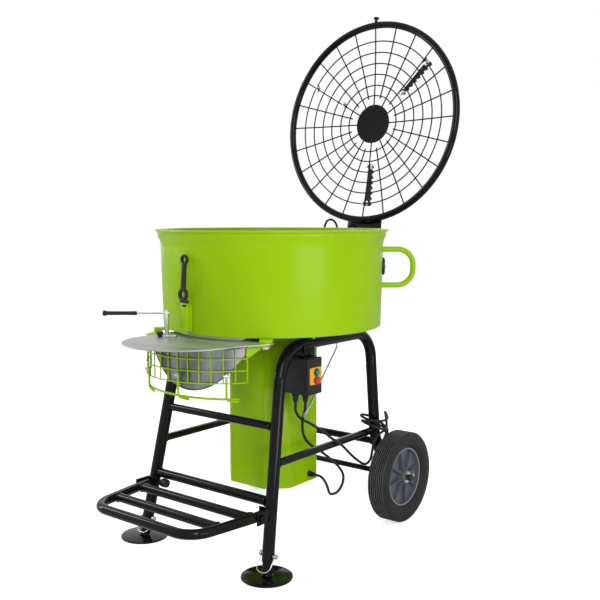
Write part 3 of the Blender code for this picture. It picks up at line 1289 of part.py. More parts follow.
def build_guard():
    """Wire guard with its straps, the lugs and bolts it hangs on, the chute apron and the lower hoop."""
    px, py = GATE_PIVOT
    span = 2 * GUARD_HALF_ANGLE
    bm = bmesh.new()
    levels = [GUARD_BASE_Z + GUARD_HEIGHT * i / GUARD_ROWS for i in range(GUARD_ROWS + 1)]
    start = around(-GUARD_HALF_ANGLE, GUARD_RADIUS, 0, GUARD_CENTRE_Y)
    verts = [bm.verts.new((start.x, start.y, z)) for z in levels]
    edges = [bm.edges.new(pair) for pair in zip(verts, verts[1:])]
    bmesh.ops.spin(
        bm, geom=verts + edges, cent=(0, GUARD_CENTRE_Y, 0), axis=(0, 0, 1), angle=span, steps=GUARD_CELLS
    )
    bmesh.ops.recalc_face_normals(bm, faces=bm.faces)
    cells = bm.faces[:]
    bmesh.ops.inset_individual(bm, faces=cells, thickness=GUARD_WIRE / 2, use_even_offset=True)
    bmesh.ops.delete(bm, geom=cells, context="FACES")
    guard = from_bmesh("outlet_guard", bm)
    wall = guard.modifiers.new("wire", "SOLIDIFY")
    wall.thickness = GUARD_WIRE
    wall.offset = 0.0
    hole_radius = GATE_PIN_RADIUS + HOLE_GAP
    pin_low = GUARD_STRAP_BASE_Z - GAP - GATE_PIN_HEAD
    pin_profile = [
        (0.0, DRUM_BASE_Z - 2 * GAP - pin_low),
        (GATE_PIN_RADIUS, DRUM_BASE_Z - 2 * GAP - pin_low),
        (GATE_PIN_RADIUS, GATE_PIN_HEAD),
        (GATE_PIN_HEAD_RADIUS, GATE_PIN_HEAD),
        (GATE_PIN_HEAD_RADIUS, 0.0),
        (0.0, 0.0),
    ]
    for side, label in ((1, "right"), (-1, "left")):
        bolt = Vector((side * px, py))
        tip = around(side * GUARD_HALF_ANGLE, GUARD_RADIUS, 0, GUARD_CENTRE_Y).xy
        along = (tip - bolt).normalized()
        heading = Matrix.Rotation(math.atan2(along.y, along.x), 4, "Z")
        half = GUARD_STRAP_WIDTH / 2
        length = (tip - bolt).length + GUARD_WIRE
        outline = arc((0, 0), half, math.pi / 2, 1.5 * math.pi, END_STEPS)
        outline += [(length, -half), (length, half)]
        hole = arc((0, 0), hole_radius, 0, math.tau, ROUND_STEPS)[:-1]
        mid_z = (GUARD_STRAP_BASE_Z + GUARD_STRAP_TOP_Z) / 2
        place = Matrix.Translation((bolt.x, bolt.y, mid_z)) @ heading
        join(guard, plate(f"guard_strap_{label}", outline, GUARD_STRAP_THICKNESS, place, (hole,)))

        inward = Matrix.Rotation(math.atan2(-bolt.y, -bolt.x), 4, "Z")
        half = LUG_WIDTH / 2
        outline = arc((0, 0), half, math.pi / 2, 1.5 * math.pi, END_STEPS)
        outline += [(LUG_LENGTH, -half), (LUG_LENGTH, half)]
        lug_mid = Vector((bolt.x, bolt.y, LUG_TOP_Z - LUG_THICKNESS / 2))
        lug = plate(f"outlet_lug_{label}", outline, LUG_THICKNESS, Matrix.Translation(lug_mid) @ inward)
        if side < 0:
            foot = Vector((bolt.x, bolt.y, GUARD_STRAP_TOP_Z + GAP))
            join(lug, rod("lug_spacer", foot, lug_mid, LUG_SPACER_RADIUS, ROUND_STEPS))
        at_pin = Matrix.Translation((bolt.x, bolt.y, pin_low))
        finish(join(lug, turned("guard_bolt", pin_profile, PIN_SIDES, at_pin)), GREEN)
    finish(guard, GREEN)

    apron_radius = GUARD_RADIUS - GUARD_WIRE / 2 - APRON_SHEET / 2 - 4 * GAP
    apron_top = GUARD_STRAP_BASE_Z - GAP
    bm = bmesh.new()
    bmesh.ops.create_grid(bm, x_segments=APRON_STEPS, y_segments=2, size=0.5)
    for vert in bm.verts:
        share = 2 * vert.co.x
        depth = APRON_EDGE + (APRON_DEPTH - APRON_EDGE) * math.sqrt(max(0.0, 1 - share**2))
        drop = (0.5 - vert.co.y) * depth
        angle = APRON_ANGLE + share * APRON_HALF_ANGLE
        vert.co = around(angle, apron_radius, apron_top - drop, GUARD_CENTRE_Y)
    bmesh.ops.recalc_face_normals(bm, faces=bm.faces)
    apron = from_bmesh("chute_apron", bm)
    wall = apron.modifiers.new("sheet", "SOLIDIFY")
    wall.thickness = APRON_SHEET
    wall.offset = 0.0
    finish(apron, STEEL)

    hoop_z = GUARD_BASE_Z - HOOP_DROP
    headings = [HOOP_HALF_ANGLE * (2 * i / GUARD_CELLS - 1) for i in range(GUARD_CELLS + 1)]
    hoop_points = [around(heading, GUARD_RADIUS, hoop_z, GUARD_CENTRE_Y) for heading in headings]
    hoop = tube("outlet_hoop", hoop_points, HOOP_RADIUS, WIRE_SIDES)
    for degrees in HOOP_ROD_ANGLES:
        low = around(math.radians(degrees), GUARD_RADIUS, hoop_z, GUARD_CENTRE_Y)
        high = Vector((low.x, low.y, GUARD_BASE_Z - GAP))
        join(hoop, rod("hoop_rod", low, high, HOOP_ROD_RADIUS, TUBE_SIDES))
    finish(hoop, GREEN)


def build_switch_box():
    """Switch box under the right bearer tube: case, panel, two buttons, contactor and glands."""
    width, depth, tall = BOX_SIZE
    centre = Vector((BOX_CENTRE_X, BOX_CENTRE_Y, BOX_TOP_Z - tall / 2))
    case = block("switch_box", BOX_SIZE, centre, edge=BOX_EDGE)
    room = [size - 2 * BOX_WALL - BOX_EDGE for size in BOX_SIZE]
    cut(case, block("box_room", room, centre))
    panel_x = BOX_FRONT_X + GAP + PANEL_SIZE[0] / 2
    panel = block("switch_panel", PANEL_SIZE, (panel_x, BOX_CENTRE_Y, PANEL_Z), edge=PANEL_EDGE)
    hole_radius = BUTTON_RADIUS + HOLE_GAP
    panel_top = BOX_FRONT_X + GAP + PANEL_SIZE[0]
    room_face = centre.x + room[0] / 2
    buttons = (
        ("start_button", START_Z, BUTTON_PROUD, START_GREEN),
        ("stop_button", STOP_Z, STOP_PROUD, STOP_RED),
    )
    for name, z, proud, colour in buttons:
        ends = (room_face - BOX_WALL, BUTTON_Y, z), (panel_top + BOX_WALL, BUTTON_Y, z)
        cut(case, rod(f"{name}_hole", *ends, hole_radius, ROUND_STEPS))
        cut(panel, rod(f"{name}_panel_hole", *ends, hole_radius, ROUND_STEPS))
        carrier = pivot(f"{name}_slide", (panel_top, BUTTON_Y, z), ROOT)
        ends = (panel_top - BUTTON_DEPTH, BUTTON_Y, z), (panel_top + proud, BUTTON_Y, z)
        finish(rod(name, *ends, BUTTON_RADIUS, ROUND_STEPS), colour, carrier)
    finish(case, PLASTIC)
    finish(panel, YELLOW)

    back = centre.x - room[0] / 2 + GAP
    contactor_mid = (back + CONTACTOR_SIZE[0] / 2, BOX_CENTRE_Y, centre.z)
    finish(block("contactor", CONTACTOR_SIZE, contactor_mid, edge=CONTACTOR_EDGE), PLASTIC)

    for name, (x, y) in (("mains_gland", MAINS_GLAND), ("motor_gland", MOTOR_GLAND)):
        at_gland = Matrix.Translation((x, y, BOX_BASE_Z - GAP))
        finish(turned(name, gland_profile(), PIN_SIDES, at_gland), PLASTIC)


def build_stay():
    """Thin rod that hangs from the right bearer tube and holds the leads off the frame."""
    tube_flat = TUBE_RADIUS * math.cos(math.pi / FRAME_SIDES)
    top = Vector((*STAY_TOP, TOP_TUBE_Z - tube_flat - GAP))
    bend = top - Vector((0, 0, 4 * STAY_RADIUS))
    route = smooth_route([bend, *STAY_POINTS], 6 * STAY_RADIUS)
    finish(tube("lead_stay", [top, *route], STAY_RADIUS, WIRE_SIDES), ZINC)


def build_leads():
    """Mains lead coiled on the rear leg with its plug, and the motor lead to the housing."""
    spacing = 3 * 2 * LEAD_RADIUS
    gland_end = BOX_BASE_Z - GAP - GLAND_LENGTH - GAP
    bar_top = SIDE_BAR_Z + BAR_RADIUS
    coil_base = bar_top + LEAD_RADIUS + 2 * GAP - LOW_TURN_PASSES * COIL_PITCH
    coil_centre = Vector((frame_x(coil_base), REAR_LEG_Y, 0))

    def coil_point(angle):
        height = coil_base + COIL_PITCH * angle / math.tau
        return coil_centre + Vector((COIL_RADIUS * math.cos(angle), COIL_RADIUS * math.sin(angle), height))

    total = math.tau * COIL_TURNS + COIL_END_ANGLE
    count = round(total / math.tau * COIL_STEPS)
    turns = [coil_point(total * i / count) for i in range(count + 1)]
    run_in = turns[0] - Vector((0, 2 * LEAD_RADIUS, 0))
    run_out = turns[-1] + (turns[-1] - turns[-2]).normalized() * 2 * LEAD_RADIUS
    plug_top = Vector(PLUG_TOP)
    tail = smooth_route([run_out, *PLUG_TAIL, plug_top + Vector((0, 0, GAP))], spacing)
    finish(tube("mains_coil", [run_in, *turns, *tail], LEAD_RADIUS, WIRE_SIDES), RUBBER)
    apart = [
        (p - q).length for i, p in enumerate(turns) for q in turns[i + COIL_STEPS // 2 :]
    ]
    print(f"least gap between coil turns: {(min(apart) - 2 * LEAD_RADIUS) * 1000:.2f} mm")

    lead_end = run_in - Vector((0, GAP, 0))
    lead_bend = lead_end - Vector((0, 2 * LEAD_RADIUS, 0))
    out_z = gland_end - 2 * LEAD_RADIUS
    mains = smooth_route([(*MAINS_GLAND, out_z), *MAINS_ROUTE, lead_bend], spacing)
    finish(tube("mains_lead", [(*MAINS_GLAND, gland_end), *mains, lead_end], LEAD_RADIUS), RUBBER)

    plug_profile = [
        (0.0, 0.0),
        (LEAD_RADIUS * 1.4, 0.0),
        (PLUG_RADIUS * 0.6, -0.3 * PLUG_LENGTH),
        (PLUG_RADIUS * 0.8, -0.5 * PLUG_LENGTH),
        (PLUG_RADIUS, -0.62 * PLUG_LENGTH),
        (PLUG_RADIUS, -PLUG_LENGTH),
        (0.0, -PLUG_LENGTH),
    ]
    finish(turned("plug", plug_profile, ROUND_STEPS, Matrix.Translation(plug_top)), PLASTIC)

    lead_y, lead_z = HOUSING_ENTRY_YZ
    wall_end = HOUSING_HALF + 2 * GAP
    wall_bend = (wall_end + 2 * LEAD_RADIUS, lead_y, lead_z)
    motor = smooth_route([(*MOTOR_GLAND, out_z), *MOTOR_ROUTE, wall_bend], spacing)
    ends = (*MOTOR_GLAND, gland_end), (wall_end, lead_y, lead_z)
    finish(tube("motor_lead", [ends[0], *motor, ends[1]], LEAD_RADIUS), RUBBER)


def centre_footprint():
    """Moves the assembly so that its origin is the middle of its footprint, without the leads."""
    leads = ("mains_lead", "mains_coil", "plug", "motor_lead")
    bpy.context.view_layer.update()
    graph = bpy.context.evaluated_depsgraph_get()
    corners = []
    for obj in PARTS.objects:
        if obj.type == "MESH" and obj.name not in leads:
            shape = obj.evaluated_get(graph)
            corners += [shape.matrix_world @ v.co for v in shape.data.vertices]
    low = [min(c[i] for c in corners) for i in range(3)]
    high = [max(c[i] for c in corners) for i in range(3)]
    ROOT.location = (-(low[0] + high[0]) / 2, -(low[1] + high[1]) / 2, -low[2])
    print("footprint middle:", [round(-v, 6) for v in ROOT.location])


build_drum()
build_drive()
build_rotor()
build_side_frames()
build_crossbars()
build_wheels()
build_feet()
build_rack()
build_lid()
build_lid_switch()
build_handles()
build_strap()
build_gate()
build_guard()
build_switch_box()
build_stay()
build_leads()
centre_footprint()
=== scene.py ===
"""Looks of an upright pan concrete mixer on a two-wheeled tube frame.

Metres, +Z up. Pieces are laid out from the drum axis, as the solids are, and moved with them.
"""
import json
from math import acos, asin, atan2, cos, pi, radians, sin, sqrt, tan, tau

import bmesh
import bpy
from mathutils import Matrix, Vector


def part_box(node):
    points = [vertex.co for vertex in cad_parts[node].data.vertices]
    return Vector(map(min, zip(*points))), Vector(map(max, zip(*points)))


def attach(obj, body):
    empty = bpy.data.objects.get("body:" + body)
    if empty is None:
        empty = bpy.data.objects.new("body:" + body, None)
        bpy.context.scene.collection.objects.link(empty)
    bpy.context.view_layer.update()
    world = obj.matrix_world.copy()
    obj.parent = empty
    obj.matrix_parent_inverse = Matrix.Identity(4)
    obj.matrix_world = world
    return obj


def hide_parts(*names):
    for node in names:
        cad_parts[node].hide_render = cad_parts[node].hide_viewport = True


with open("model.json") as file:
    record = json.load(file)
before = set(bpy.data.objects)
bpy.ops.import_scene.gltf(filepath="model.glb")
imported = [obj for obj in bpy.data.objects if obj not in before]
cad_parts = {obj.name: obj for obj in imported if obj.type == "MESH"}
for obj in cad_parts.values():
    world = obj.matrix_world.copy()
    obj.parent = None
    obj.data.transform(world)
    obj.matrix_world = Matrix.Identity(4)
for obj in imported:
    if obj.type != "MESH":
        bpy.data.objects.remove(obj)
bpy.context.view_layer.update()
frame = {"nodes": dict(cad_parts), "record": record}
SHAFT_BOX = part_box("rotor_shaft")
SHIFT = Matrix.Translation((0, (SHAFT_BOX[0].y + SHAFT_BOX[1].y) / 2, 0))

# Flat outlines are stood up across the machine or square to its side
UPRIGHT = Matrix.Rotation(radians(90), 4, "X")
TO_SIDE = Matrix(((0, 0, 1, 0), (1, 0, 0, 0), (0, 1, 0, 0), (0, 0, 0, 1)))
SIDES = ((1, "right"), (-1, "left"))
# Clearance of neighbouring pieces
GAP = 0.0003

# Drum and what it carries, angles from the front towards +X
DRUM_R = 0.375
DRUM_BASE_R = 0.367
DRUM_BASE_Z = 0.707
DRUM_TOP_Z = 1.029
DRUM_WALL = 0.004
FLANGE_R = 0.391
BEAD_R = 0.384
FLOOR_TOP_Z = 0.713
UNDERSIDE_Z = DRUM_BASE_Z - GAP
HANDLE_TOP_Z = 0.96
HANDLE_LOW_Z = 0.838
HANDLE_REACH = 0.479
HANDLE_ANGLE = radians(130)
PLUG_Z = 0.905
PLUG_ANGLE = radians(123)
STRAP_ANGLE = radians(-4)
STRAP_AXIS_Z = 0.8113

# Drive housing
HOUSING_HALF = 0.135
HOUSING_CHAMFER = 0.062
HOUSING_BASE_Z = 0.1747
VENT_PITCH = 0.028
VENT_HALF = 0.005
VENT_REACH = 0.06
VENT_ROWS = 2
ENTRY = Vector((HOUSING_HALF, 0.03, 0.2))
ENTRY_LENGTH = 0.026

# Tube frame
TUBE_R = 0.019
BAR_R = 0.0125
LOWER_BAR_R = 0.015
FOOT_X = 0.27
FOOT_Y = -0.351
LEAN_X = -0.0711
LEAN_Y = 0.1946
TOP_TUBE_Z = 0.67
REAR_LEG_Y = 0.262
REAR_KINK_Z = 0.31
AXLE_Y = 0.318
AXLE_Z = 0.158
SIDE_BAR_Z = 0.325
UPPER_BAR_Z = 0.434
LOWER_BAR_Z = 0.215
REAR_BAR_Z = 0.28
SADDLES_Y = (-0.08, 0.15)
HANGER_BASE_Z = 0.6308

# Wheels
WHEEL_X = 0.3175
WHEEL_R = 0.158
TREAD_WIDTH = 0.055
RIM_R = 0.103
RIM_HALF = 0.022
AXLE_HALF = 0.366

# Rack
RACK_Z = 0.185
RACK_HINGE_Y = -0.37
RACK_FRONT_Y = -0.606
RACK_FRONT_HALF = 0.2125
RACK_TUBE_R = 0.015
RACK_SLAT_R = 0.0142
RACK_SLATS_Y = (-0.3895, -0.503)
RACK_ARM_X = 0.2472

# Lid
LID_R = 0.375
LID_TUBE_R = 0.013
LID_Z = 1.043
LID_INNER = 0.362
LID_DOME = 0.027
LID_HINGE = Vector((0, 0.465, 0.977))
LID_SWING = Matrix.Rotation(radians(-96.45), 4, "X")
LID_OPEN = Matrix.Translation(LID_HINGE) @ LID_SWING @ Matrix.Translation(-LID_HINGE)
LID_RINGS = (0.3, 0.408, 0.523, 0.636, 0.75, 0.866)
LID_SPOKES = 24
HINGE_EYE_R = 0.015
LID_DISC_R = 0.075
BLADE_ANGLES = (47.0, 180.0, 300.0)
BLADE_START = 0.156
BLADE_END = 0.322
BLADE_TEETH = 8
LID_SWITCH_X = 0.082

# Discharge
GATE_PIVOT = Vector((0.234, -0.309, 0))
GATE_TOP_Z = 0.6974
GATE_BASE_Z = 0.6934
BOLT_HOLE_R = 0.0063
GUARD_Y = -0.243
GUARD_R = 0.241
GUARD_HALF = radians(60)
GUARD_BASE_Z = 0.5811
GUARD_TOP_Z = 0.6906
GUARD_LAYER = 0.0022
TAB_BASE_Z = 0.6878
LUG_BASE_Z = 0.6977
HOOP_Z = 0.5446
HOOP_TILT = 0.05

# Switch box
BOX_SIZE = Vector((0.097, 0.073, 0.116))
BOX_MID = Vector((0.2225, -0.1153, 0.5725))
BUTTON_Y = -0.1137
START_Z = 0.586
STOP_Z = 0.5605
PANEL_Z = 0.5745
PANEL_FACE_X = 0.2743
MAINS_GLAND = (0.206, -0.133)
MOTOR_GLAND = (0.23, -0.113)
GLAND_TOP_Z = 0.5142
GLAND_END_Z = 0.4842

# Leads
LEAD_R = 0.0045
LEAD_STEP = 0.008
COIL_R = 0.0455
COIL_PITCH = 0.0204
COIL_TURNS = 2.125
COIL_TILT = 0.021
TIE_ANGLE = radians(-35)

# Stage
FLOOR_GLOW = 0.66
SKY_LIGHT = 0.41
CAMERA_LENS = 51.43
CAMERA_SPOT = Vector((1.873, -2.225, 1.0726))
CAMERA_DOWN = 5.605
CAMERA_TURN = 38.244


def wire(tree, *rows):
    """Links node outputs to node inputs."""
    for source, output, target, entry in rows:
        tree.links.new(source.outputs[output], target.inputs[entry])


def socket_values(node, **values):
    """Sets a node's inputs by name."""
    for name, value in values.items():
        node.inputs[name.replace("_", " ")].default_value = value


def surface_group():
    """Slow colour drift, roughness drift and fine relief, shared by every finish."""
    group = bpy.data.node_groups.new("surface_detail", "ShaderNodeTree")
    sockets = (
        ("INPUT", "Vector", ("Vector",)),
        ("INPUT", "Color", ("Light Tone", "Dark Tone")),
        ("INPUT", "Float", ("Drift Scale", "Low Roughness", "High Roughness", "Grain Scale", "Speckle")),
        ("OUTPUT", "Color", ("Color",)),
        ("OUTPUT", "Float", ("Roughness", "Height")),
    )
    for way, kind, names in sockets:
        for name in names:
            group.interface.new_socket(name, in_out=way, socket_type="NodeSocket" + kind)
    nodes = group.nodes
    given = nodes.new("NodeGroupInput")
    drift = nodes.new("ShaderNodeTexNoise")
    socket_values(drift, Detail=3.0, Roughness=0.55)
    grain = nodes.new("ShaderNodeTexNoise")
    socket_values(grain, Detail=2.0, Roughness=0.6)
    spread = nodes.new("ShaderNodeMapRange")
    socket_values(spread, From_Min=0.35, From_Max=0.65)
    fleck = nodes.new("ShaderNodeMath")
    fleck.operation = "MULTIPLY_ADD"
    tone = nodes.new("ShaderNodeMix")
    tone.data_type = "RGBA"
    rough = nodes.new("ShaderNodeMapRange")
    out = nodes.new("NodeGroupOutput")
    wire(
        group,
        (given, "Vector", drift, "Vector"),
        (given, "Drift Scale", drift, "Scale"),
        (given, "Vector", grain, "Vector"),
        (given, "Grain Scale", grain, "Scale"),
        (drift, "Fac", spread, "Value"),
        (grain, "Fac", fleck, 0),
        (given, "Speckle", fleck, 1),
        (spread, "Result", fleck, 2),
        (fleck, "Value", tone, "Factor"),
        (given, "Dark Tone", tone, "A"),
        (given, "Light Tone", tone, "B"),
        (spread, "Result", rough, "Value"),
        (given, "Low Roughness", rough, "To Min"),
        (given, "High Roughness", rough, "To Max"),
        (tone, "Result", out, "Color"),
        (rough, "Result", out, "Roughness"),
        (grain, "Fac", out, "Height"),
    )
    return group


SURFACE = surface_group()


def finish(
    name, light, dark, roughness, grain, relief, drift=7.0, stretch=(1, 1, 1), speckle=0.0, **shader_values
):
    """A material whose tone, roughness and relief vary over the piece."""
    made = bpy.data.materials.new(name)
    made.use_nodes = True
    nodes = made.node_tree.nodes
    shader = nodes["Principled BSDF"]
    where = nodes.new("ShaderNodeTexCoord")
    mapping = nodes.new("ShaderNodeMapping")
    mapping.inputs["Scale"].default_value = stretch
    detail = nodes.new("ShaderNodeGroup")
    detail.node_tree = SURFACE
    socket_values(
        detail,
        Light_Tone=(*light, 1.0),
        Dark_Tone=(*dark, 1.0),
        Drift_Scale=drift,
        Low_Roughness=roughness[0],
        High_Roughness=roughness[1],
        Grain_Scale=grain,
        Speckle=speckle,
    )
    bump = nodes.new("ShaderNodeBump")
    socket_values(bump, Strength=relief, Distance=0.0006)
    wire(
        made.node_tree,
        (where, "Object", mapping, "Vector"),
        (mapping, "Vector", detail, "Vector"),
        (detail, "Color", shader, "Base Color"),
        (detail, "Roughness", shader, "Roughness"),
        (detail, "Height", bump, "Height"),
        (bump, "Normal", shader, "Normal"),
    )
    socket_values(shader, **shader_values)
    return made


COATS = {
    "green_coat": finish(
        "lime_powder_coat", (0.336, 0.59, 0.003), (0.306, 0.545, 0.0025), (0.24, 0.31), 420.0, 0.05,
        drift=3.0, Specular_IOR_Level=0.1, Coat_Weight=0.06, Coat_Roughness=0.16,
    ),
    "black_coat": finish(
        "black_gloss_coat", (0.005, 0.005, 0.0056), (0.0034, 0.0034, 0.0038), (0.09, 0.14), 380.0, 0.03,
        Specular_IOR_Level=0.16,
    ),
    "steel": finish(
        "rolled_sheet_steel", (0.46, 0.46, 0.47), (0.37, 0.37, 0.38), (0.42, 0.52), 160.0, 0.06,
        drift=5.0, stretch=(1, 5, 5), speckle=0.2, Metallic=0.85,
    ),
    # Painted shade and reflection: the chute's tone swings from near black to light grey in vertical streaks,
    # standing in for shade and reflections on the sheet
    "chute_steel": finish(
        "chute_steel_painted_shade", (0.36, 0.36, 0.37), (0.05, 0.05, 0.055), (0.24, 0.36), 160.0, 0.05,
        drift=10.0, stretch=(1, 1, 0.3), speckle=0.1, Metallic=0.85,
    ),
    "zinc": finish(
        "bright_zinc_plate", (0.66, 0.66, 0.65), (0.5, 0.5, 0.49), (0.24, 0.36), 500.0, 0.06,
        drift=40.0, speckle=0.2, Metallic=1.0,
    ),
    "rubber": finish(
        "black_moulded_rubber", (0.022, 0.022, 0.023), (0.014, 0.014, 0.015), (0.48, 0.62), 900.0, 0.12,
        drift=15.0, Specular_IOR_Level=0.22,
    ),
    "tyre": finish(
        "tyre_rubber", (0.021, 0.021, 0.022), (0.013, 0.013, 0.014), (0.56, 0.7), 700.0, 0.18,
        drift=18.0, speckle=0.3, Specular_IOR_Level=0.25,
    ),
    # Painted highlight: lighter grey on each rib crown stands in for the light lines along the tyre ribs
    "rib_crown_highlight": finish(
        "painted_rib_crown_highlight", (0.21, 0.207, 0.202), (0.09, 0.09, 0.09), (0.6, 0.75), 500.0, 0.2,
        drift=25.0, speckle=0.5, Specular_IOR_Level=0.25,
    ),
    # Painted highlight: the lighter grey lips at the rim and hub edges stand in for light catching those
    # edges
    "rim_edge_highlight": finish(
        "painted_rim_edge_highlight", (0.36, 0.37, 0.39), (0.24, 0.25, 0.27), (0.3, 0.42), 700.0, 0.06, drift=30.0
    ),
    "black_plastic": finish(
        "black_moulded_plastic", (0.017, 0.017, 0.018), (0.011, 0.011, 0.012), (0.4, 0.52), 1300.0, 0.16,
        drift=20.0, Specular_IOR_Level=0.25,
    ),
    "rim_grey": finish(
        "blue_grey_plastic", (0.12, 0.132, 0.158), (0.092, 0.102, 0.124), (0.36, 0.48), 800.0, 0.08,
        drift=16.0,
    ),
    "cast_iron": finish(
        "painted_cast_iron", (0.115, 0.118, 0.122), (0.085, 0.088, 0.092), (0.5, 0.64), 260.0, 0.35,
        Metallic=0.2,
    ),
    "yellow": finish(
        "yellow_switch_plate", (0.93, 0.43, 0.022), (0.86, 0.38, 0.016), (0.36, 0.46), 900.0, 0.05, drift=30.0
    ),
    "start_green": finish(
        "start_button_green", (0.006, 0.3, 0.165), (0.004, 0.26, 0.14), (0.28, 0.38), 900.0, 0.04, drift=50.0
    ),
    "stop_red": finish(
        "stop_button_red", (0.64, 0.032, 0.045), (0.56, 0.024, 0.036), (0.28, 0.38), 900.0, 0.04, drift=50.0
    ),
}


def up(z):
    """A step of some height."""
    return Vector((0, 0, z))


def at(spot):
    """Places something at a spot."""
    return Matrix.Translation(spot)


def mm(*rows):
    """Points given in millimetres."""
    return [Vector(row) / 1000 for row in rows]


def placed(name, data):
    """A new object in the scene."""
    obj = bpy.data.objects.new(name, data)
    bpy.context.scene.collection.objects.link(obj)
    return obj


def gathered(*parts):
    """Several meshes in the making as one."""
    whole = bmesh.new()
    for part in parts:
        scrap = bpy.data.meshes.new("scrap")
        part.to_mesh(scrap)
        part.free()
        whole.from_mesh(scrap)
        bpy.data.meshes.remove(scrap)
    return whole


def moved(bm, matrix):
    """A mesh in the making, put in its place."""
    bmesh.ops.transform(bm, matrix=matrix, verts=bm.verts)
    return bm


def softened(bm, edge, segments):
    """A mesh in the making with all its edges rounded."""
    bmesh.ops.bevel(
        bm, geom=bm.edges[:], offset=edge, segments=segments, profile=0.5, affect="EDGES", material=-1
    )
    return bm


def new_curve(name, dimensions, paths, cyclic):
    """A curve of straight runs through one or more lists of points."""
    curve = bpy.data.curves.new(name, "CURVE")
    curve.dimensions = dimensions
    for path in paths:
        spline = curve.splines.new("POLY")
        spline.points.add(len(path) - 1)
        for point, place in zip(spline.points, path):
            point.co = (*place, 1.0)
        spline.use_cyclic_u = cyclic
    return curve


def curve_bmesh(curve):
    """The mesh of a curve with its ends closed."""
    holder = placed("holder", curve)
    bpy.context.view_layer.update()
    shape = holder.evaluated_get(bpy.context.evaluated_depsgraph_get())
    mesh = bpy.data.meshes.new_from_object(shape)
    bpy.data.objects.remove(holder, do_unlink=True)
    bm = bmesh.new()
    bm.from_mesh(mesh)
    bpy.data.meshes.remove(mesh)
    bmesh.ops.remove_doubles(bm, verts=bm.verts, dist=1e-6)
    bmesh.ops.recalc_face_normals(bm, faces=bm.faces)
    return bm


def bars(paths, radius, sides=16, cyclic=False):
    """Round bars along one or more paths."""
    curve = new_curve("bars", "3D", paths, cyclic)
    curve.bevel_depth = radius
    curve.bevel_resolution = (sides - 4) // 2
    curve.use_fill_caps = True
    return curve_bmesh(curve)


def slab(outline, thickness, place=Matrix(), holes=(), edge=0.0008):
    """A flat plate with eased edges from its outline and holes, centred on its thickness."""
    rings = [[(spot[0], spot[1], 0.0) for spot in ring] for ring in (outline, *holes)]
    curve = new_curve("slab", "2D", rings, True)
    curve.fill_mode = "BOTH"
    curve.extrude = thickness / 2 - edge
    curve.bevel_depth = edge
    curve.bevel_resolution = 2
    curve.offset = -edge
    return moved(curve_bmesh(curve), place)


def block(size, centre, edge=0.002, turn=Matrix(), segments=3):
    """A box with rounded edges."""
    bm = bmesh.new()
    bmesh.ops.create_cube(bm, size=1.0)
    bmesh.ops.scale(bm, vec=size, verts=bm.verts)
    return moved(softened(bm, edge, segments), at(centre) @ turn)


def lathe(profile, steps=96, place=Matrix()):
    """A profile of (radius, height) points turned about +Z."""
    bm = bmesh.new()
    verts = [bm.verts.new((p[0], 0.0, p[1])) for p in profile]
    pairs = list(zip(verts, verts[1:]))
    if all(p[0] > 1e-6 for p in profile):
        pairs.append((verts[-1], verts[0]))
    edges = [bm.edges.new(pair) for pair in pairs]
    bmesh.ops.spin(
        bm, geom=verts + edges, cent=(0, 0, 0), axis=(0, 0, 1), angle=tau, steps=steps, use_merge=True
    )
    bmesh.ops.remove_doubles(bm, verts=bm.verts, dist=1e-6)
    bmesh.ops.recalc_face_normals(bm, faces=bm.faces)
    return moved(bm, place)


def aimed(point, direction):
    """Places something made along +Z at a point, along a direction."""
    return at(point) @ Vector(direction).to_track_quat("Z", "Y").to_matrix().to_4x4()


def turned(point, direction, steps, *profile):
    """A turned piece seated at a point, its profile in millimetres from there."""
    return lathe(mm(*profile), steps, aimed(point, direction))


def hexagon(radius, height, edge):
    """A hexagonal prism with rounded edges, its middle at the origin."""
    bm = bmesh.new()
    bmesh.ops.create_cone(bm, cap_ends=True, segments=6, radius1=radius, radius2=radius, depth=height)
    return softened(bm, edge, 2)


def hex_bolt(point, direction, across=0.013, height=0.006):
    """A hexagon head on its washer, seated at a point."""
    washer = 0.0015
    head = moved(hexagon(across * 0.577, height, across * 0.06), at(up(washer + height / 2)))
    ring = lathe([(0, washer), (across * 0.88, washer), (across * 0.9, 0.0), (0, 0)], 24)
    return moved(gathered(head, ring), aimed(point, direction))


def rounded(points, bend, steps=8, closed=False):
    """A path through straight runs with an arc at each corner."""
    points = [Vector(p) for p in points]
    befores = points[-1:] + points[:-1]
    afters = points[1:] + points[:1]
    path = []
    for i, (before, corner, after) in enumerate(zip(befores, points, afters)):
        if not closed and i in (0, len(points) - 1):
            path.append(corner)
            continue
        back, ahead = before - corner, after - corner
        half = back.angle(ahead) / 2
        radius = bend if isinstance(bend, float) else bend[i if closed else i - 1]
        reach = min(radius / tan(half), 0.49 * back.length, 0.49 * ahead.length)
        radius = reach * tan(half)
        back.normalize()
        ahead.normalize()
        if half > radians(89.5):
            path.append(corner)
            continue
        centre = corner + (back + ahead).normalized() * radius / sin(half)
        start = corner + back * reach - centre
        end = corner + ahead * reach - centre
        sweep = start.angle(end)
        for k in range(steps + 1):
            t = k / steps
            path.append(centre + (start * sin((1 - t) * sweep) + end * sin(t * sweep)) / sin(sweep))
    return path


def eased(profile, bend=0.0015, steps=3, closed=True):
    """A lathe profile with its corners rounded."""
    flat = rounded([(p[0], p[1], 0.0) for p in profile], bend, steps, closed)
    return [(p.x, p.y) for p in flat]


def capped(profile, bend):
    """A lathe profile from axis to axis with its outer corners rounded."""
    return [profile[0], *eased(profile, bend, 3, False)[1:-1], profile[-1]]


def arc(centre, radius, start, end, steps):
    """Points of a plane arc between two angles."""
    angles = [start + (end - start) * i / steps for i in range(steps + 1)]
    return [(centre[0] + radius * cos(a), centre[1] + radius * sin(a)) for a in angles]


def circle(centre, radius, steps=32):
    """Points of a plane circle."""
    return arc(centre, radius, 0, tau, steps)[:-1]


def tongue(half, length, steps):
    """Outline of a strip with one round end, its bolt at the origin."""
    return arc((0, 0), half, pi / 2, 1.5 * pi, steps) + [(length, -half), (length, half)]


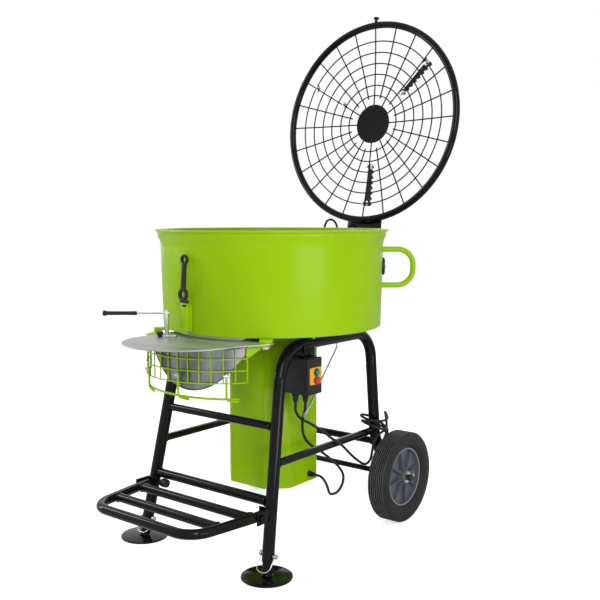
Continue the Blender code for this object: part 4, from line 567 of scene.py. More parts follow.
def smooth_route(points, spacing):
    """Evenly spaced points on a smooth curve through a cord's own points."""
    points = [Vector(p) for p in points]
    padded = [2 * points[0] - points[1], *points, 2 * points[-1] - points[-2]]
    fine = []
    for a, b, c, d in zip(padded, padded[1:], padded[2:], padded[3:]):
        for i in range(12):
            t = i / 12
            square = (2 * a - 5 * b + 4 * c - d) * t**2
            cube = (3 * b - a - 3 * c + d) * t**3
            fine.append((2 * b + (c - a) * t + square + cube) / 2)
    fine.append(points[-1])
    length = sum((q - p).length for p, q in zip(fine, fine[1:]))
    count = max(2, round(length / spacing))
    step = length / count
    route = [fine[0]]
    walked = 0.0
    for p, q in zip(fine, fine[1:]):
        run = (q - p).length
        while len(route) < count and walked + run >= step * len(route):
            route.append(p.lerp(q, (step * len(route) - walked) / run))
        walked += run
    route.append(fine[-1])
    return route


def shown(name, data, coat, body):
    """A piece in its coat that rides on a body."""
    data.materials.append(COATS[coat])
    obj = placed(name, data)
    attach(obj, body)
    return obj


def add(name, parts, coat, *nodes, body="chassis", place=Matrix(), crease=40.0):
    """Makes a finished piece of some meshes that stands for the solids named."""
    bm = moved(gathered(*parts), SHIFT @ place)
    mesh = bpy.data.meshes.new(name)
    bm.to_mesh(mesh)
    bm.free()
    mesh.shade_smooth()
    mesh.set_sharp_from_angle(angle=radians(crease))
    obj = shown(name, mesh, coat, body)
    if nodes:
        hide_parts(*nodes)
    return obj


def thicken(obj, thickness, offset):
    """Gives a piece made as a bare surface the thickness of its sheet."""
    sheet = obj.modifiers.new("sheet", "SOLIDIFY")
    sheet.thickness = thickness
    sheet.offset = offset


def drum_outer(z):
    """Outer radius of the drum wall at a height."""
    return DRUM_BASE_R + (DRUM_R - DRUM_BASE_R) * (z - DRUM_BASE_Z) / (DRUM_TOP_Z - DRUM_BASE_Z)


def around(angle, radius, z, centre_y=0.0):
    """A point round a vertical axis, its angle from the front towards +X."""
    return Vector((radius * sin(angle), centre_y - radius * cos(angle), z))


def frame_x(z):
    """Distance of a side frame from the middle at a height."""
    return FOOT_X + LEAN_X * z


def leg_point(side, z):
    """A point on a front leg's axis."""
    return Vector((side * frame_x(z), FOOT_Y + LEAN_Y * z, z))


def rear_leg_y(z):
    """Middle of a rear leg at a height."""
    if z >= REAR_KINK_Z:
        return REAR_LEG_Y
    return REAR_LEG_Y + (AXLE_Y - REAR_LEG_Y) * (REAR_KINK_Z - z) / (REAR_KINK_Z - AXLE_Z)


def on_axle(side, reach):
    """Places something made along +Z on the axle, at a distance from the middle."""
    turn = Matrix.Rotation(radians(90 * side), 4, "Y")
    return at((0, AXLE_Y, AXLE_Z)) @ turn @ at(up(reach))


def weld_bead(point, direction, radius):
    """A weld round a bar's end."""
    return lathe(circle((radius, 0), 0.0026, 8), 32, aimed(point, direction))


def cross_bar(reach, y, z, radius, inset):
    """A bar across the machine with a weld near each end."""
    welds = [weld_bead((side * (reach - inset), y, z), (1, 0, 0), radius) for side in (1, -1)]
    return [bars([[(-reach, y, z), (reach, y, z)]], radius, 24), *welds]


def make_drum():
    """Drum shell, its mouth flared to a flange and its foot turned under."""
    flare_z = DRUM_TOP_Z - 0.052
    profile = [
        (DRUM_R - DRUM_WALL, DRUM_TOP_Z),
        (FLANGE_R, DRUM_TOP_Z),
        (FLANGE_R, DRUM_TOP_Z - 0.006),
        (BEAD_R + 0.0008, DRUM_TOP_Z - 0.0075),
        (BEAD_R, DRUM_TOP_Z - 0.018),
        (DRUM_R + 0.0015, DRUM_TOP_Z - 0.034),
        (drum_outer(flare_z), flare_z),
        (DRUM_BASE_R, DRUM_BASE_Z),
        (DRUM_BASE_R - DRUM_WALL, DRUM_BASE_Z),
    ]
    bends = [0.001, 0.0022, 0.0022, 0.004, 0.02, 0.04, 0.08, 0.0034, 0.0005]
    add("drum", [lathe(eased(profile, bends, 6), 192)], "green_coat", "drum_shell", crease=50)


def cut_base(walls, point, normal):
    """Cuts the housing's base along an upright plane."""
    faces = [f for f in walls.faces if all(abs(v.co.z - HOUSING_BASE_Z) < 1e-5 for v in f.verts)]
    base = list({item for face in faces for item in (face, *face.edges, *face.verts)})
    bmesh.ops.bisect_plane(walls, geom=base, plane_co=point, plane_no=normal)


def make_housing():
    """Folded sheet housing of the drive with vents in its base, and the lead's gland."""
    short = HOUSING_HALF - HOUSING_CHAMFER
    corners = []
    for quarter in range(4):
        turn = Matrix.Rotation(radians(90 * quarter), 3, "Z")
        corners += [turn @ Vector((HOUSING_HALF, short, 0)), turn @ Vector((short, HOUSING_HALF, 0))]
    walls = bmesh.new()
    ring = [walls.verts.new((p.x, p.y, HOUSING_BASE_Z)) for p in rounded(corners, 0.012, 5, True)]
    edges = [walls.edges.new(pair) for pair in zip(ring, ring[1:] + ring[:1])]
    lifted = bmesh.ops.extrude_edge_only(walls, edges=edges)["geom"]
    tops = [v for v in lifted if isinstance(v, bmesh.types.BMVert)]
    bmesh.ops.translate(walls, vec=up(UNDERSIDE_Z - HOUSING_BASE_Z), verts=tops)
    walls.faces.new(ring)
    for x in (-VENT_REACH, VENT_REACH):
        cut_base(walls, (x, 0, 0), (1, 0, 0))
    for row in range(-VENT_ROWS, VENT_ROWS + 1):
        for edge in (-VENT_HALF, VENT_HALF):
            cut_base(walls, (0, row * VENT_PITCH + edge, 0), (0, 1, 0))
    vents = []
    for face in walls.faces:
        middle = face.calc_center_median()
        row = round(middle.y / VENT_PITCH)
        in_row = abs(row) <= VENT_ROWS and abs(middle.y - row * VENT_PITCH) < VENT_HALF
        if in_row and abs(middle.x) < VENT_REACH and abs(middle.z - HOUSING_BASE_Z) < 1e-5:
            vents.append(face)
    bmesh.ops.delete(walls, geom=vents, context="FACES")
    bmesh.ops.recalc_face_normals(walls, faces=walls.faces)
    thicken(add("drive_housing", [walls], "green_coat", "motor_housing", crease=30), 0.0025, -1.0)

    tip = ENTRY_LENGTH * 1000
    gland = turned(
        ENTRY, (1, 0, 0), 24, (0, tip), (5.5, tip), (8.5, 20), (8.5, 10), (10.5, 8.5), (10.5, 0), (0, 0)
    )
    add("housing_gland", [gland], "black_plastic")


def make_rotor():
    """Shaft, domed hub and three bent arms with their paddles."""
    base = FLOOR_TOP_Z + 0.003
    top = base + 0.15
    hub = [(0, top), (0.032, top), (0.07, top - 0.0375), (0.07, base), (0.0203, base), (0.0203, top - 0.06)]
    profile = [hub[0], *eased(hub, 0.004, 4, False)[1:], (0, top - 0.06)]
    add("rotor_hub_cap", [lathe(profile, 64)], "steel", "rotor_hub", body="rotor")
    shaft = [(0, base + 0.09), (0.02, base + 0.09), (0.02, 0.627), (0, 0.627)]
    add("rotor_drive_shaft", [lathe(shaft, 48)], "steel", "rotor_shaft", body="rotor")
    arm_z = FLOOR_TOP_Z + 0.115
    for i, reach in enumerate((0.3, 0.235, 0.17)):
        turn = Matrix.Rotation(tau * i / 3, 4, "Z")
        name = f"rotor_arm_{i + 1}"
        path = rounded([(0.0703, 0, arm_z), (reach, 0, arm_z), (reach, 0, FLOOR_TOP_Z + 0.055)], 0.03)
        parts = [
            bars([path], 0.013, 24),
            weld_bead((0.0745, 0, arm_z), (1, 0, 0), 0.0125),
            block((0.04, 0.012, 0.018), (reach, 0, FLOOR_TOP_Z + 0.07)),
            block((0.1, 0.008, 0.065), (reach, 0, FLOOR_TOP_Z + 0.0355), 0.0015),
        ]
        add(name + "_bar", parts, "steel", name, body="rotor", place=turn)
        bolts = [hex_bolt((reach + x, -0.004, FLOOR_TOP_Z + 0.04), (0, -1, 0)) for x in (-0.03, 0.03)]
        add(f"paddle_bolts_{i + 1}", bolts, "zinc", body="rotor", place=turn)


def make_frame():
    """Bent side frames with their bars and saddles, and the bars between them."""
    top_x = frame_x(TOP_TUBE_Z)
    end_z = AXLE_Z - 0.035
    tall = UNDERSIDE_Z - TOP_TUBE_Z
    for side, label in SIDES:
        corners = [
            leg_point(side, 0.045),
            leg_point(side, TOP_TUBE_Z),
            (side * top_x, REAR_LEG_Y, TOP_TUBE_Z),
            (side * frame_x(REAR_KINK_Z), REAR_LEG_Y, REAR_KINK_Z),
            (side * frame_x(end_z), rear_leg_y(end_z), end_z),
        ]
        bar_x = side * frame_x(SIDE_BAR_Z)
        front_y = leg_point(side, SIDE_BAR_Z).y
        parts = [
            bars([rounded(corners, [0.12, 0.085, 0.06], 14)], TUBE_R, 28),
            bars([[(bar_x, front_y, SIDE_BAR_Z), (bar_x, REAR_LEG_Y, SIDE_BAR_Z)]], BAR_R, 24),
            weld_bead((bar_x, front_y + TUBE_R, SIDE_BAR_Z), (0, 1, -0.2), BAR_R),
            weld_bead((bar_x, REAR_LEG_Y - TUBE_R, SIDE_BAR_Z), (0, 1, 0), BAR_R),
        ]
        for y in SADDLES_Y:
            parts.append(block((0.03, 0.05, tall), (side * top_x, y, TOP_TUBE_Z + tall / 2), 0.003))
        if side > 0:
            size = (0.034, 0.052, TOP_TUBE_Z - HANGER_BASE_Z)
            parts.append(block(size, (top_x + 0.006, BOX_MID.y + 0.006, (TOP_TUBE_Z + HANGER_BASE_Z) / 2)))
        add(f"frame_tube_{label}", parts, "black_coat", f"side_frame_{label}", crease=50)
        nut = Vector((side * (top_x + 0.015), 0, DRUM_BASE_Z - 0.012))
        nuts = [hex_bolt(nut + Vector((0, y, 0)), (side, 0, 0)) for y in SADDLES_Y]
        add(f"saddle_nuts_{label}", nuts, "zinc")

    lean = Vector((0, LEAN_Y, 1)).length
    rows = (
        ("front_bar_upper", leg_point(1, UPPER_BAR_Z), BAR_R),
        ("front_bar_lower", leg_point(1, LOWER_BAR_Z), LOWER_BAR_R),
        ("rear_bar", Vector((0, rear_leg_y(REAR_BAR_Z), REAR_BAR_Z)), BAR_R),
    )
    for name, spot, radius in rows:
        reach = frame_x(spot.z) - TUBE_R * lean - GAP
        add(name + "_tube", cross_bar(reach, spot.y, spot.z, radius, 0.001), "black_coat", name, crease=50)


def make_wheels():
    """Ribbed tyres on moulded rims with eight ribs, and the axle with its washers, pins and caps."""
    pitch = TREAD_WIDTH / 7
    ribs = [TREAD_WIDTH / 2 - pitch * i for i in range(8)]
    crown, shoulder, groove = WHEEL_R - 0.0004, WHEEL_R - 0.0014, WHEEL_R - 0.005
    tread = []
    for x in ribs:
        tread += [(shoulder, x + 0.0021), (crown, x + 0.0014), (crown, x - 0.0014), (shoulder, x - 0.0021)]
        tread += [(groove, x - 0.0026), (groove, x - pitch + 0.0026)]
    wall = mm(
        (0.3, 22), (4, 27.2), (11, 32), (11.8, 31.2), (12.6, 33), (24, 36.2), (34, 36), (36, 35), (44, 34.6),
        (50.5, 32.6), (53.2, 30.2),
    )
    half_side = [(RIM_R + r, x) for r, x in wall]
    other_side = [(r, -x) for r, x in reversed(half_side)]
    tyre = half_side + tread[:-2] + other_side
    hub_r, hub_half, bore, web_top, web_low = 0.022, 0.03, 0.0103, 0.004, -0.002
    inner = RIM_R - 0.007
    rim = [
        (inner, RIM_HALF), (RIM_R, RIM_HALF), (RIM_R, -RIM_HALF), (inner, -RIM_HALF), (inner, web_low),
        (hub_r, web_low), (hub_r, -hub_half), (bore, -hub_half), (bore, hub_half), (hub_r, hub_half),
        (hub_r, web_top), (inner, web_top),
    ]
    spoke = [(hub_r - 0.001, 0), (inner + 0.001, 0), (inner + 0.001, 0.0135), (hub_r - 0.001, 0.021)]
    on_web = at(up(web_top - 0.001)) @ UPRIGHT
    collar = [(hub_r + r, web_top + z) for r, z in mm((5, 10), (5, 0), (-1, 0), (-1, 10))]
    # Thin lighter rings at the rim edge and hub edge, a painted highlight
    lip_highlights = [
        [(RIM_R - 0.0035 + 0.0018 * c, RIM_HALF + 0.0002 + 0.0012 * s) for c, s in circle((0, 0), 1, 10)],
        [(hub_r - 0.0015 + 0.0014 * c, hub_half - 0.0009 + 0.001 * s) for c, s in circle((0, 0), 1, 10)],
    ]
    for side, label in SIDES:
        on = {"body": f"wheel_{label}", "place": on_axle(side, WHEEL_X)}
        add(f"tyre_tread_{label}", [lathe(tyre, 120)], "tyre", f"tyre_{label}", crease=50, **on)
        turns = [Matrix.Rotation(tau * (i + 0.25) / 8, 4, "Z") for i in range(8)]
        spokes = [slab(spoke, 0.0035, turn @ on_web) for turn in turns]
        parts = [lathe(eased(rim, 0.0012), 96), *spokes, lathe(collar, 64)]
        add(f"rim_{label}", parts, "rim_grey", f"wheel_rim_{label}", **on)
        # Lighter grey band on each rib crown, a painted highlight along the ribs
        crown_band = mm((-1, 1), (0, 0.7), (0, -0.7), (-1, -1))
        crown_highlights = [lathe([(WHEEL_R + r, x + across) for r, across in crown_band], 120) for x in ribs]
        add(f"tread_rib_highlights_{label}", crown_highlights, "rib_crown_highlight", **on)
        add(f"rim_lip_highlights_{label}", [lathe(lip, 96) for lip in lip_highlights], "rim_edge_highlight", **on)

    rod = [(-AXLE_HALF, AXLE_Y, AXLE_Z), (AXLE_HALF, AXLE_Y, AXLE_Z)]
    add("axle_bar", [bars([rod], 0.01, 32)], "black_coat", "axle")
    steel, caps = [], []
    for side in (1, -1):
        seat = on_axle(side, WHEEL_X + hub_half + GAP)
        eye = [(x, y, 0.006) for x, y in circle((0, 0.0345), 0.0045, 20)]
        steel.append(lathe(mm((9.9, 3), (19.5, 3), (20, 0), (9.9, 0)), 40, seat))
        steel.append(moved(bars([mm((0, 30, 6), (0, -20, 6))], 0.0016, 12), seat))
        steel.append(moved(bars([eye], 0.0012, 10, True), seat))
        cap = mm((0, 20), (8.5, 20), (10.5, 18), (11.8, 9.5), (11.8, 9), (0, 9))
        caps.append(lathe(cap, 40, seat))
    add("axle_washers", steel, "zinc")
    add("axle_caps", caps, "black_plastic")


def make_feet():
    """Round foot plates on their inner tubes, and the locking pins with their bails."""
    plate = capped([(0, 0.006), (0.078, 0.006), (0.078, 0), (0, 0)], 0.0015)
    reach, arm, drop = Vector((0.03, 0, 0)), Vector((0.026, 0, 0)), Vector((0, -0.032, -0.044))
    for side, label in SIDES:
        axis = leg_point(side, 1.0) - leg_point(side, 0.0)
        parts = [
            lathe(plate, 96, at((side * FOOT_X, FOOT_Y, 0))),
            bars([[leg_point(side, 0.005), leg_point(side, 0.24)]], 0.0162, 28),
            weld_bead(leg_point(side, 0.0068), axis, 0.0165),
        ]
        add(f"foot_{label}_disc", parts, "black_coat", f"foot_plate_{label}", body=f"foot_{label}")
        mid = leg_point(side, 0.064)
        bow = [mid - arm, mid - arm + drop, mid + arm + drop, mid + arm]
        parts = [bars([[mid - reach, mid + reach]], 0.004, 20), bars([rounded(bow, 0.021, 12)], 0.0016, 12)]
        for end in (reach, -reach):
            parts.append(turned(mid + end * 0.9, end, 24, (0, 7), (6.2, 7), (6.8, 6), (6.8, 0), (0, 0)))
        for end in (reach, -reach):
            parts.append(turned(mid + end * 0.86, end, 24, (4.1, 3), (7.5, 3), (7.5, -3), (4.1, -3)))
        add(f"foot_{label}_pin", parts, "zinc", f"foot_pin_{label}")


def rack_arm_x(y):
    """Middle of a rack arm at a distance along the rack."""
    share = max((y - RACK_HINGE_Y) / (RACK_FRONT_Y - RACK_HINGE_Y), 0.0)
    return RACK_ARM_X + (RACK_FRONT_HALF - RACK_ARM_X) * share


def make_rack():
    """Folding bucket rest of bent tube with its slats, and the ears it turns on with their knobs."""
    arm = rack_arm_x(RACK_HINGE_Y)
    half = [(arm, RACK_HINGE_Y + 0.018), (arm, RACK_HINGE_Y - 0.018), (RACK_FRONT_HALF, RACK_FRONT_Y)]
    corners = [(x, y, RACK_Z) for x, y in half] + [(-x, y, RACK_Z) for x, y in reversed(half)]
    parts = [bars([rounded(corners, 0.074, 14)], RACK_TUBE_R, 28)]
    for y in RACK_SLATS_Y:
        parts += cross_bar(rack_arm_x(y), y, RACK_Z, RACK_SLAT_R, RACK_TUBE_R)
    add("rack_tubes", parts, "black_coat", "rack_frame", body="rack", crease=50)

    hinge = Vector((0, RACK_HINGE_Y, RACK_Z))
    head = capped([(0, 0.01), (0.011, 0.01), (0.012, 0), (0, 0)], 0.002)
    for side, label in SIDES:
        low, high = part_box(f"rack_ear_{label}")
        ear_y = (low.y + high.y) / 2 - SHIFT.translation.y
        out = Vector((side, 0, 0))
        parts = [
            block((0.005, high.y - low.y, 0.04), (side * 0.265, ear_y, RACK_Z), 0.0012),
            bars([[hinge + out * 0.2192, hinge + out * 0.2792]], 0.005, 20),
            lathe(head, 24, aimed(hinge + out * 0.2675, out)),
            turned(hinge + out * 0.2292, -out, 24, (0, 9), (9.5, 9), (10.5, 7), (10.5, 0), (0, 0)),
            block((0.0408, 0.006, 0.04), (side * 0.2471, -0.3335, RACK_Z), 0.001),
            block((0.005, 0.042, 0.027), (side * 0.2292, -0.351, RACK_Z - 0.0115), 0.001),
        ]
        add(f"rack_hinge_{label}", parts, "black_coat", f"rack_ear_{label}")
    stem = leg_point(-1, RACK_Z) + Vector((TUBE_R - 0.001, 0, 0))
    knob = turned(
        stem, (1, 0, 0), 32,
        (0, 46), (9, 46), (13.5, 43), (14.5, 36), (14.5, 24), (12.5, 18), (7, 14), (7, 0), (0, 0),
    )
    add("rack_lock_knob", [knob], "black_plastic")


def lid_rise(radius):
    """Height of the domed wires above the lid ring."""
    return LID_DOME * (1 - (radius / LID_INNER) ** 2)


def lid_spot(angle, radius, lift=0.0):
    """A point on the shut lid's dome, its angle from the front."""
    return around(angle, radius, LID_Z + lid_rise(radius) + lift)


def make_lid():
    """Tube ring with its stud, welded wires, disc and bag blades, standing open."""
    on = {"body": "lid", "place": LID_OPEN}
    stud = turned(
        (0, -LID_R - LID_TUBE_R, LID_Z), (0, -1, 0), 32,
        (0, 17), (10, 17), (11, 15.5), (11, 12), (6, 11), (6, -8), (0, -8),
    )
    ring = lathe(circle((LID_R, LID_Z), LID_TUBE_R, 24), 160)
    add("lid_tube_ring", [ring, stud], "black_coat", "lid_ring", **on)

    spokes = []
    for i in range(LID_SPOKES):
        start = 0.06 if i % 2 == 0 else LID_RINGS[0] * LID_INNER - 0.01
        stops = [start + (LID_INNER + 0.003 - start) * k / 8 for k in range(9)]
        spokes.append([lid_spot(tau * i / LID_SPOKES, r) for r in stops])
    hoops = [[lid_spot(tau * k / 96, share * LID_INNER, -0.004) for k in range(96)] for share in LID_RINGS]
    wires = [bars(spokes, 0.00265, 10), bars(hoops, 0.0025, 10, True)]
    add("lid_wires", wires, "black_coat", "lid_grid", crease=60, **on)

    top = LID_Z + lid_rise(LID_DISC_R)
    disc = mm((0, 6.5), (30, 5.8), (58, 3.5), (73.5, 1.2), (75, 0), (73.5, -1.8), (58, -0.5), (0, 2.5))
    add("lid_centre_disc", [lathe(disc, 96, at(up(top)))], "black_coat", "lid_disc", **on)

    foot = lid_rise(BLADE_START) + 0.004
    tips = foot + 0.03
    roots = tips - 0.014
    pitch = (BLADE_END - BLADE_START) / BLADE_TEETH
    outline = [(BLADE_START, foot), (BLADE_END, lid_rise(BLADE_END) + 0.0045)]
    for tooth in range(BLADE_TEETH):
        x = BLADE_END - tooth * pitch
        outline += [(x - pitch * 0.15, roots), (x - pitch * 0.55, tips), (x - pitch * 0.62, tips)]
    outline.append((BLADE_START, roots))
    tab_radii = (BLADE_START + 0.01, BLADE_END - 0.01)
    for i, degrees in enumerate(BLADE_ANGLES):
        name = f"bag_blade_{i + 1}"
        heading = Matrix.Rotation(radians(degrees - 90), 4, "Z")
        on["place"] = LID_OPEN @ at(up(LID_Z)) @ heading
        add(name + "_saw", [slab(outline, 0.004, UPRIGHT, edge=0.0006)], "black_coat", name, **on)
        parts = [block((0.022, 0.022, 0.003), (r, 0, lid_rise(r) + 0.0045), 0.0008) for r in tab_radii]
        parts += [hex_bolt((r, 0.007, lid_rise(r) + 0.001), (0, 0, -1), 0.01) for r in tab_radii]
        add(f"bag_blade_bolts_{i + 1}", parts, "zinc", **on)


def make_lid_hinge():
    """Hinge plate of the lid, its seat on the drum and the bent rod beside it."""
    on = {"body": "lid", "place": LID_OPEN}
    base = LID_Z + LID_TUBE_R + GAP
    parts = [block((0.156, 0.099, 0.005), (0, 0.4155, base + 0.0025), 0.0012)]
    eye = arc(LID_HINGE.yz, HINGE_EYE_R, radians(-135), 0, 10)
    outline = [(0.418, base + 0.002), *eye, (LID_HINGE.y + HINGE_EYE_R, base + 0.002)]
    hole = circle(LID_HINGE.yz, BOLT_HOLE_R, 24)
    for x in (0.034, -0.034):
        parts.append(slab(outline, 0.006, at((x, 0, 0)) @ TO_SIDE, (hole,)))
    add("lid_hinge_wing", parts, "black_coat", "lid_hinge_plate", **on)
    bolts = [hex_bolt((x, 0.4, base + 0.005), (0, 0, 1)) for x in (-0.055, 0.055)]
    add("lid_hinge_bolts", bolts, "zinc", **on)

    low, high = LID_HINGE.z - 0.035, LID_HINGE.z + HINGE_EYE_R
    back_y = drum_outer(high) + GAP
    parts = [block((0.09, 0.006, high - low), (0, back_y + 0.003, (low + high) / 2), 0.0012)]
    eye = arc(LID_HINGE.yz, HINGE_EYE_R, radians(-60), pi / 2, 10)
    outline = [(back_y + 0.003, high), (back_y + 0.003, low), *eye]
    for x in (0.042, -0.042):
        parts.append(slab(outline, 0.006, at((x, 0, 0)) @ TO_SIDE))
    pin = Vector((0.06, 0, 0))
    parts.append(bars([[LID_HINGE - pin, LID_HINGE + pin]], 0.006, 24))
    add("lid_hinge_seat", parts, "black_coat", "drum_hinge_bracket")
    rod = mm(
        (-150, 342, 958), (-150, 400, 972), (-148, 470, 992), (-147, 492, 1026), (-134, 492, 1052),
        (-114, 492, 1058.5), (-96, 492, 1050), (-85, 492, 1028), (-83, 484, 995), (-66, 455, 975),
        (-44, 440, 970),
    )
    add("lid_stop_rod", [bars([smooth_route(rod, 0.006)], 0.0042)], "black_coat")
    outer = Vector((0.045, 0, 0))
    nuts = [hex_bolt(LID_HINGE + outer * side, outer * side, 0.015, 0.009) for side in (1, -1)]
    nuts += [hex_bolt((x, back_y + 0.006, low + 0.012), (0, 1, 0), 0.01, 0.005) for x in (-0.022, 0.022)]
    add("hinge_nuts", nuts, "zinc")


def make_lid_switch():
    """Safety switch behind the drum with the lead that is clipped down the wall."""
    x, mid_z = LID_SWITCH_X, 0.96
    wide, deep, tall = 0.03, 0.028, 0.056
    near_y = sqrt(drum_outer(mid_z + tall / 2) ** 2 - (x - wide / 2) ** 2) + GAP
    mid = Vector((x, near_y + deep / 2, mid_z))
    exit_z = mid_z - tall / 2

    def on_wall(z):
        return Vector((x, sqrt((drum_outer(z) + 0.0045) ** 2 - x**2), z))

    run_z, run_x = 0.689, 0.0365
    route = [
        (x, mid.y, exit_z + 0.01), (x, mid.y, exit_z - 0.02), on_wall(0.872), on_wall(0.8045), on_wall(0.737),
        on_wall(DRUM_BASE_Z) + Vector((0, 0.003, 0)), (x, 0.337, run_z), (x, 0.251, run_z),
        (run_x, 0.165, run_z), (run_x, 0.147, run_z), (run_x, 0.1359, run_z),
    ]
    parts = [
        block((wide, deep, tall), mid, 0.003),
        block((0.018, 0.016, 0.01), mid + Vector((0, 0.002, 0.0235)), 0.0015),
        turned((x, mid.y, exit_z), (0, 0, -1), 24, (3.1, 10), (6, 8), (7, 0), (3.1, 0)),
        bars([smooth_route(route, 0.01)], 0.003, 12),
    ]
    add("lid_switch_case", parts, "black_plastic", "lid_switch")
    off = Vector((0, 0.0026, 0))
    clips = [block((0.02, 0.0035, 0.01), on_wall(z) + off, 0.0008) for z in (0.85, 0.765)]
    add("lead_clips", clips, "zinc")


def make_handles():
    """Loop handles of bent tube on the drum's rear corners, and the plug between the right one's ends."""
    for side, label in SIDES:
        angle = side * HANDLE_ANGLE
        corners = [
            around(angle, drum_outer(HANDLE_TOP_Z) - 0.001, HANDLE_TOP_Z),
            around(angle, HANDLE_REACH, HANDLE_TOP_Z),
            around(angle, HANDLE_REACH, HANDLE_LOW_Z),
            around(angle, drum_outer(HANDLE_LOW_Z) - 0.001, HANDLE_LOW_Z),
        ]
        parts = [bars([rounded(corners, 0.0605, 20)], 0.0092, 24)]
        for z in (HANDLE_TOP_Z, HANDLE_LOW_Z):
            parts.append(weld_bead(around(angle, drum_outer(z) + 0.0012, z), around(angle, 1, 0), 0.0085))
        add(f"grab_loop_{label}", parts, "green_coat", f"loop_handle_{label}")
    seat = around(PLUG_ANGLE, drum_outer(PLUG_Z) - 0.002, PLUG_Z)
    heading = around(PLUG_ANGLE, 1, 0)
    plug = turned(seat, heading, 40, (0, 10.5), (23, 10.5), (28.5, 7.5), (30, 3), (30, 0), (0, 0))
    add("wall_plug", [plug], "black_plastic")
    screw = turned(seat + heading * 0.0103, heading, 24, (0, 4), (3.5, 3.4), (5.5, 1), (5.5, 0), (0, 0))
    add("wall_plug_screw", [screw], "zinc")


def make_strap():
    """Rubber lid strap with an eye at each end, on its green channel."""
    facing = Matrix.Rotation(STRAP_ANGLE, 4, "Z")
    radius = drum_outer(0.952) + 0.016
    low_eye, high_eye = 0.0205, 0.1285
    low_r, high_r, waist = 0.0205, 0.016, 0.0088
    low_neck = asin(waist / low_r)
    high_neck = asin(waist * 0.85 / high_r)
    outline = arc((0, low_eye), low_r, pi / 2 + low_neck, 2.5 * pi - low_neck, 36)
    outline += arc((0, high_eye), high_r, high_neck - pi / 2, 1.5 * pi - high_neck, 30)
    holes = [circle((0, low_eye), 0.0098), circle((0, high_eye), 0.0078)]
    lean = at((0.0035, high_eye, 0)) @ Matrix.Rotation(radians(-4.6), 4, "Z")
    hung = facing @ at((0, -radius, STRAP_AXIS_Z)) @ UPRIGHT
    place = hung @ lean @ at((0, -high_eye, 0))
    middle = around(STRAP_ANGLE, radius, STRAP_AXIS_Z)
    across = facing @ Vector((0.016, 0, 0))
    parts = [
        slab(outline, 0.01, place, holes, 0.0028),
        moved(block((0.005, 0.052, 0.0125), (0, 0.075, 0)), place),
        bars([[middle - across, middle + across]], 0.0049, 20),
    ]
    add("lid_strap_rubber", parts, "rubber", "lid_strap", body="strap")

    back = -(drum_outer(0.806) - 0.0008)
    front = -(radius + 0.005)
    parts = [block((0.022, back - front, 0.096), (0, (back + front) / 2, 0.758), 0.003)]
    parts += [block((0.006, 0.01, 0.08), (x, back - 0.006, 0.756), 0.0015) for x in (0.012, -0.012)]
    add("strap_channel", parts, "green_coat", "strap_bracket", place=facing)
    bolts = [hex_bolt((0.011, back - y, 0.722), (1, 0, 0), 0.007, 0.004) for y in (0.008, 0.018)]
    add("strap_bolts", bolts, "zinc", place=facing)
    slot = block((0.0012, 0.003, 0.06), (0.0113, back - 0.009, 0.768), 0.0005)
    end = block((0.016, 0.004, 0.007), (0.004, front + 0.001, 0.7985), 0.001)
    add("strap_channel_slot", [slot, end], "rubber", place=facing)


def make_gate():
    """Swinging discharge plate with its lever, rod, grip and knob."""
    nose = arc((0.018, -0.425), 0.192, pi + acos(0.184 / 0.192), tau, 48)
    eye = arc(GATE_PIVOT.xy, 0.024, radians(-40), radians(110), 20)
    rear = arc((0, 0), 0.168, radians(-52), radians(-140), 28)
    outline = nose + eye + rear + [(-0.166, rear[-1][1] - 0.03)]
    mid = at(up((GATE_BASE_Z + GATE_TOP_Z) / 2))
    plate = slab(outline, 0.004, mid, (circle(GATE_PIVOT.xy, BOLT_HOLE_R),), 0.0007)
    add("discharge_plate", [plate], "steel", "gate_plate", body="gate")

    base = Vector((-0.092, -0.402, GATE_TOP_Z + GAP))
    turn = Matrix.Rotation(radians(38.2), 4, "Z")
    outward = turn @ Vector((-1, 0, 0))
    start = base + up(0.074)
    end = start + outward * 0.186
    parts = [
        block((0.0095, 0.022, 0.084), base + up(0.042), 0.0012, turn),
        block((0.034, 0.026, 0.006), base - outward * 0.012 + up(0.003), 0.0012, turn),
        bars([[start, end]], 0.003, 20),
        hex_bolt(start - outward * 0.003, -outward, 0.01),
    ]
    add("gate_lever_bar", parts, "zinc", "gate_lever", body="gate")
    grip = turned(
        end - outward * 0.094, outward, 48,
        (0, 106), (6, 106), (8, 104.8), (8.8, 102), (8.4, 98.5), (6.8, 94.5), (6.3, 90), (5.8, 34), (6.3, 16),
        (6.5, 8), (6, 1), (5.5, 0), (3.3, 0), (3.3, 94.3), (0, 94.3),
    )
    add("lever_grip", [grip], "rubber", "gate_grip", body="gate")
    knob = lathe(mm((0, 17), (9, 17), (10.5, 15), (10.5, 6), (7, 4), (7, 0), (0, 0)), 32)
    add("gate_knob", [knob], "black_plastic", body="gate", place=at(base + outward * 0.022))


